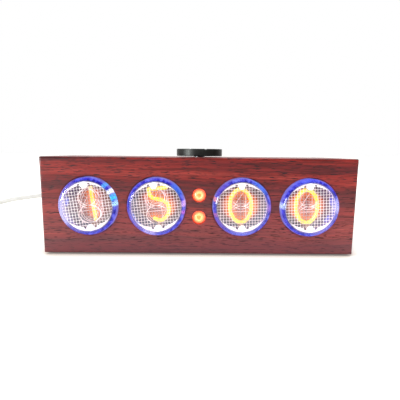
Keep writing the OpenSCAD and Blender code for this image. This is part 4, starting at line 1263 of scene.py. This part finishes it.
@dataclass
class Housing:
    """Wooden block, its cover, boards, encoder and knob: solids whose shapes are right already."""

    def finishes(self) -> dict[str, Substance]:
        """What the solids are made of.

        Returns:
            The substance of each solid by its name, which may lack its number.
        """
        brushed, turned = Making.BRUSHED, Making.TURNED
        moulded, smooth = Making.MOULDED, Making.SMOOTH
        finishes = {
            "case": Padauk(),
            "display_board": BoardLacquer(),
            "control_board": BoardLacquer("control_board_lacquer"),
            "encoder_board": BoardLacquer("encoder_board_lacquer"),
            # glazed beads, with painted shade that darkens them where they lie behind the mesh, and
            # a painted glow in their own colour
            "support_rods": ThinMetal(
                "glazed_ceramic_bead", "fffefa", "6e4c40", -22.1, -20.7, 0.0, 0.6, roughness=0.3
            ),
            # neon over the ring electrode: pale orange light
            "lamp_electrodes": Glow(
                "lamp_cathode_glow", "ffd98a", "ffb04a", 1.1, 4.0, noise_mm=1.5
            ),
        }
        # solids, then their substance, as in Finish
        for kinds, *values in (
            # cast sheet, polished: near black, with clear reflections
            ("back_cover", "black_acrylic_sheet", "1b1b1d", "151517", smooth, 0.12, 3.0, 0.02,
             0.0, 30.0),
            # cast rubber: grainy and dull
            ("feet", "foot_rubber", "262628", "1e1e20", moulded, 0.75, 0.5, 0.3),
            # pressed glass, smooth: a warm grey behind the numerals
            ("tube_base", "pressed_glass_base", "8a7f78", "5e5450", smooth, 0.2, 2.0),
            # moulded lens, smooth: pale blue with a soft gloss
            ("backlights", "backlight_lens", "dfe4ff", "cfd6ff", smooth, 0.3),
            # turned, then blasted and anodised: soft dark sheen with faint streaks
            ("knob", "satin_black_anodised_aluminium", "2c2f2d", "252726", turned, 0.42, 0.3, 0.12,
             0.6),
            # moulded, undyed: off-white, satin
            ("encoder_rotor", "contact_disc_nylon", "d8d2c0", "c9c2ae", moulded, 0.5, 0.4),
            # die-cast zinc, brushed: grey with fine streaks
            ("encoder_body", "encoder_shell_zinc", "77797e", "66686d", brushed, 0.4, 0.3, 0.1, 0.9),
            # extruded vinyl: ridges about as far apart as its wires
            ("encoder_ribbon", "ribbon_cable_vinyl", "9aa0a8", "868c95", brushed, 0.5, 1.27, 0.4),
            # pressed ferrite under lacquer: dark brown, faintly grainy
            ("booster_coil", "ferrite_lacquered", "3a2f2b", "2b2320", moulded, 0.5, 0.5),
            # shrunk sleeve: smooth, dark blue
            ("booster_capacitors", "capacitor_sleeve", "23303f", "1c2734", smooth, 0.35),
            # moulded epoxy: matt black
            ("chips", "chip_epoxy", "1d1d20", "161618", moulded, 0.6, 0.3, 0.2),
            # moulded nylon: off-white, faintly grainy
            ("cell_holder", "holder_nylon", "e3e0d6", "d6d2c6", moulded, 0.5, 0.4),
            # turned brass: a soft, warm mirror with fine streaks
            ("board_pillars board_spacers", "turned_brass", "c9a646", "b8923a", turned, 0.3, 0.3,
             0.1, 1.0),
            # moulded nylon: black, faintly grainy
            ("board_link tube_socket lamp_block", "black_nylon", "2b2a2c", "232225", moulded, 0.5,
             0.4, 0.15),
            # plated steel: a cool, slightly dull mirror
            ("cover_screws board_screws encoder_shaft encoder_bush encoder_nut encoder_washer "
             "click_dome power_socket cord_supply_shell backup_cell", "zinc_plated_steel",
             "b9bcc0", "a4a7ab", turned, 0.32, 0.3, 0.1, 1.0),
        ):
            finishes.update(dict.fromkeys(kinds.split(), Finish(*values)))
        return finishes

    def build(self) -> None:
        """Gives each solid its finish."""
        finishes = self.finishes()
        built = {}
        for node in sorted(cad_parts):
            kind = node if node in finishes else node.rstrip("0123456789").rstrip("_")
            if kind in finishes:
                finish = finishes[kind]
                if finish not in built:
                    built[finish] = finish.build()
                dress(node, built[finish])


# ---------- studio ----------


@dataclass
class Studio:
    """White table and backdrop, soft light, and the camera that took the photograph."""

    camera_at: Triple = (-0.00074, -0.18539, 0.05332)
    yaw: float = -0.41
    pitch: float = -8.31
    roll: float = -0.55
    lens: float = 29.58
    world_light: float = 0.62
    room_light: float = 0.12
    table_half: float = 6.0
    aim: Triple = (0.0, 0.0, 0.025)

    def place_camera(self) -> None:
        """Sets the camera from its fitted place, heading and lens."""
        data = bpy.data.cameras.new("photo_camera")
        data.lens, data.sensor_width, data.sensor_fit = self.lens, 36.0, "HORIZONTAL"
        data.clip_start, data.clip_end = 0.01, 50.0
        camera = add_object("photo_camera", data)
        turn = Matrix.Identity(4)
        for angle, axis in ((self.yaw, "Z"), (self.pitch, "X"), (self.roll, "Y"), (90, "X")):
            turn = turn @ Matrix.Rotation(math.radians(angle), 4, axis)
        camera.matrix_world = Matrix.Translation(self.camera_at) @ turn
        bpy.context.scene.camera = camera

    def lay_table(self) -> None:
        """Lays a pale table, one flat square."""
        half = self.table_half
        mesh = bpy.data.meshes.new("table")
        corners = [(-half, -half, 0), (half, -half, 0), (half, half, 0), (-half, half, 0)]
        mesh.from_pydata(corners, [], [(0, 1, 2, 3)])
        mesh.materials.append(TablePaper().build())
        table = add_object("table", mesh)

    def light(self) -> None:
        """Soft white surroundings, a key from the left, a top light and a bright window."""
        world = bpy.data.worlds.new("studio")
        bpy.context.scene.world = world
        world.use_nodes = True
        world.node_tree.nodes.clear()
        add = partial(add_node, world.node_tree)
        sky = {"To Min": self.world_light, "To Max": 1.0, "Value": looked_at(add)}
        power = add("MapRange", sky)
        # polished glass and metal mirror the dim room in front of the clock
        heading = add("TexCoord").outputs["Generated"]
        towards_y = add("SeparateXYZ", {"Vector": heading}).outputs["Y"]
        room = {"From Min": -0.1, "From Max": 0.5, "To Min": self.room_light, "To Max": 1.0}
        dim = add("MapRange", {**room, "Value": towards_y})
        mirror = add("LightPath").outputs["Is Glossy Ray"]
        mirrored = add("Mix", {0: mirror, 2: power, 3: dim})
        shade = add("Background", {"Color": WHITE, "Strength": mirrored})
        add("OutputWorld", {"Surface": shade})
        self.lamp("key", (-0.55, -0.55, 0.75), (0.9, 0.7), 5.5, glossy=False)
        self.lamp("top", (0.1, 0.7, 0.85), (0.9, 0.5), 5.5, glossy=False)
        self.lamp("window", (-0.9, -0.55, 0.15), (0.34, 0.4), 14.0, diffuse=False)

    def lamp(self, name: str, place: Triple, size: Pair, power: float,
             diffuse: bool = True, glossy: bool = True) -> None:
        """Hangs a rectangular lamp that faces the clock.

        Args:
            name: name of the lamp.
            place: its middle, in metres.
            size: its width and height, in metres.
            power: its power in watts.
            diffuse: whether it lights matt surfaces.
            glossy: whether it shows in polished ones.
        """
        data = bpy.data.lights.new(name, "AREA")
        data.shape, data.size, data.size_y, data.energy = "RECTANGLE", size[0], size[1], power
        lamp = add_object(name, data)
        lamp.location = place
        aim = Vector(self.aim) - Vector(place)
        lamp.rotation_euler = aim.to_track_quat("-Z", "Y").to_euler()
        lamp.visible_diffuse, lamp.visible_glossy = diffuse, glossy

    def build(self) -> None:
        """Sets the whole studio."""
        self.place_camera()
        self.lay_table()
        self.light()
        bpy.context.scene.view_settings.view_transform = "Standard"


def tubes() -> list[DigitTube]:
    """The four digit tubes, each with its own painted glow in the wall.

    Returns:
        The tubes, left to right.
    """
    rows = (
        (-56.15, 7.5, Numeral.ONE, ("201c74", "4440d0", "7f86f8"),
         ((50.0, 6.0, "5fc8ff", 1.6), (33.0, 7.0, "f4fdff", 3.0), (20.0, 8.0, "3fd0ff", 2.2),
          (7.0, 7.0, "b8ecff", 2.4), (190.0, 50.0, "ece4f8", 1.5), (140.0, 30.0, "a08cd0", 1.0),
          (240.0, 25.0, "8a78c0", 1.0)),
         ((176.0, 12.5, 3.2, "7f88ff"),)),
        (-21.65, 6.0, Numeral.FIVE, ("302a8c", "5a54d8", "9096f8"),
         ((8.0, 8.0, "ffc8f4", 1.8), (350.0, 6.0, "f08ce0", 1.2), (40.0, 20.0, "4f9bff", 1.0),
          (215.0, 40.0, "a48cd0", 1.0), (255.0, 20.0, "e8d8ff", 1.2)),
         ((205.0, 9.0, 2.6, "7fa4ff"), (225.0, 8.5, 2.6, "6fa0ff"))),
        (21.65, 2.0, Numeral.ZERO, ("3a3494", "6a66d8", "9aa4f8"),
         ((163.0, 6.0, "ff9a62", 1.6), (196.0, 6.0, "ff9060", 1.4), (140.0, 20.0, "8a6cc0", 1.0),
          (215.0, 30.0, "8f70bc", 1.0), (270.0, 35.0, "9a9cf0", 1.0), (50.0, 25.0, "62a0ff", 1.1),
          (0.0, 12.0, "c080c8", 1.0)),
         ((14.0, 10.5, 2.2, "b89aff"),)),
        (56.15, 3.0, Numeral.ZERO, ("302a98", "5a58e4", "9298fa"),
         ((176.0, 8.0, "d8ecff", 2.0), (5.0, 22.0, "dcd8ff", 1.4), (100.0, 30.0, "6a7cff", 1.0),
          (300.0, 30.0, "a79ce4", 1.0)),
         ((10.0, 11.0, 3.4, "8f8cff"), (330.0, 11.0, 3.0, "9a90ff"))),
    )
    made = []
    for k, (x, turn, lit, *light) in enumerate(rows, 1):
        glass = TubeGlass(f"tube_glass_backlit_{k}", (x, TUBE_FRONT_Y, TUBE_Z), *light)
        made.append(DigitTube(k, x, turn, lit, glass))
    return made


def main() -> None:
    """Builds the studio, then the clock round the frame."""
    logging.basicConfig(level=logging.INFO, format="%(message)s")
    Studio().build()
    PowerLead().build()
    Housing().build()
    looks = {
        # neon at a lit numeral: overexposed yellow that lights the metal round it orange
        "gas": Glow("neon_gas", "ffe23c", "ffc832", 1.5, 5.0),
        # painted glow: red-orange light round the lit numeral, standing in for the light that the
        # gas casts and blooms in the tube
        "haze": Halo(),
        # etched nickel sheet: pale in front, with painted shade dimming it towards the back, a
        # painted glow, and painted glare where the gas shines
        "plates": ThinMetal(
            "etched_cathode_sheet", "fff0ea", "c08878", -20.8, -11.5, 0.3, painted_self_glow=0.6, fade=0.85
        ),
        # etched nickel net: pale, with a painted glow, and painted glare that washes it out where
        # the gas shines behind it
        "net": ThinMetal(
            "nickel_mesh", "fff8f2", "fff0e8", -22.4, -22.0, 0.15, painted_self_glow=0.36, fade=0.7
        ),
    }
    looks = {name: substance.build() for name, substance in looks.items()}
    for tube in tubes():
        tube.build(looks)
    for name, node, z in (("upper_lamp", "lamp_upper", 31.45), ("lower_lamp", "lamp_lower", 20.05)):
        ColonLamp(name, node, z).build()


if __name__ == "__main__":
    main()
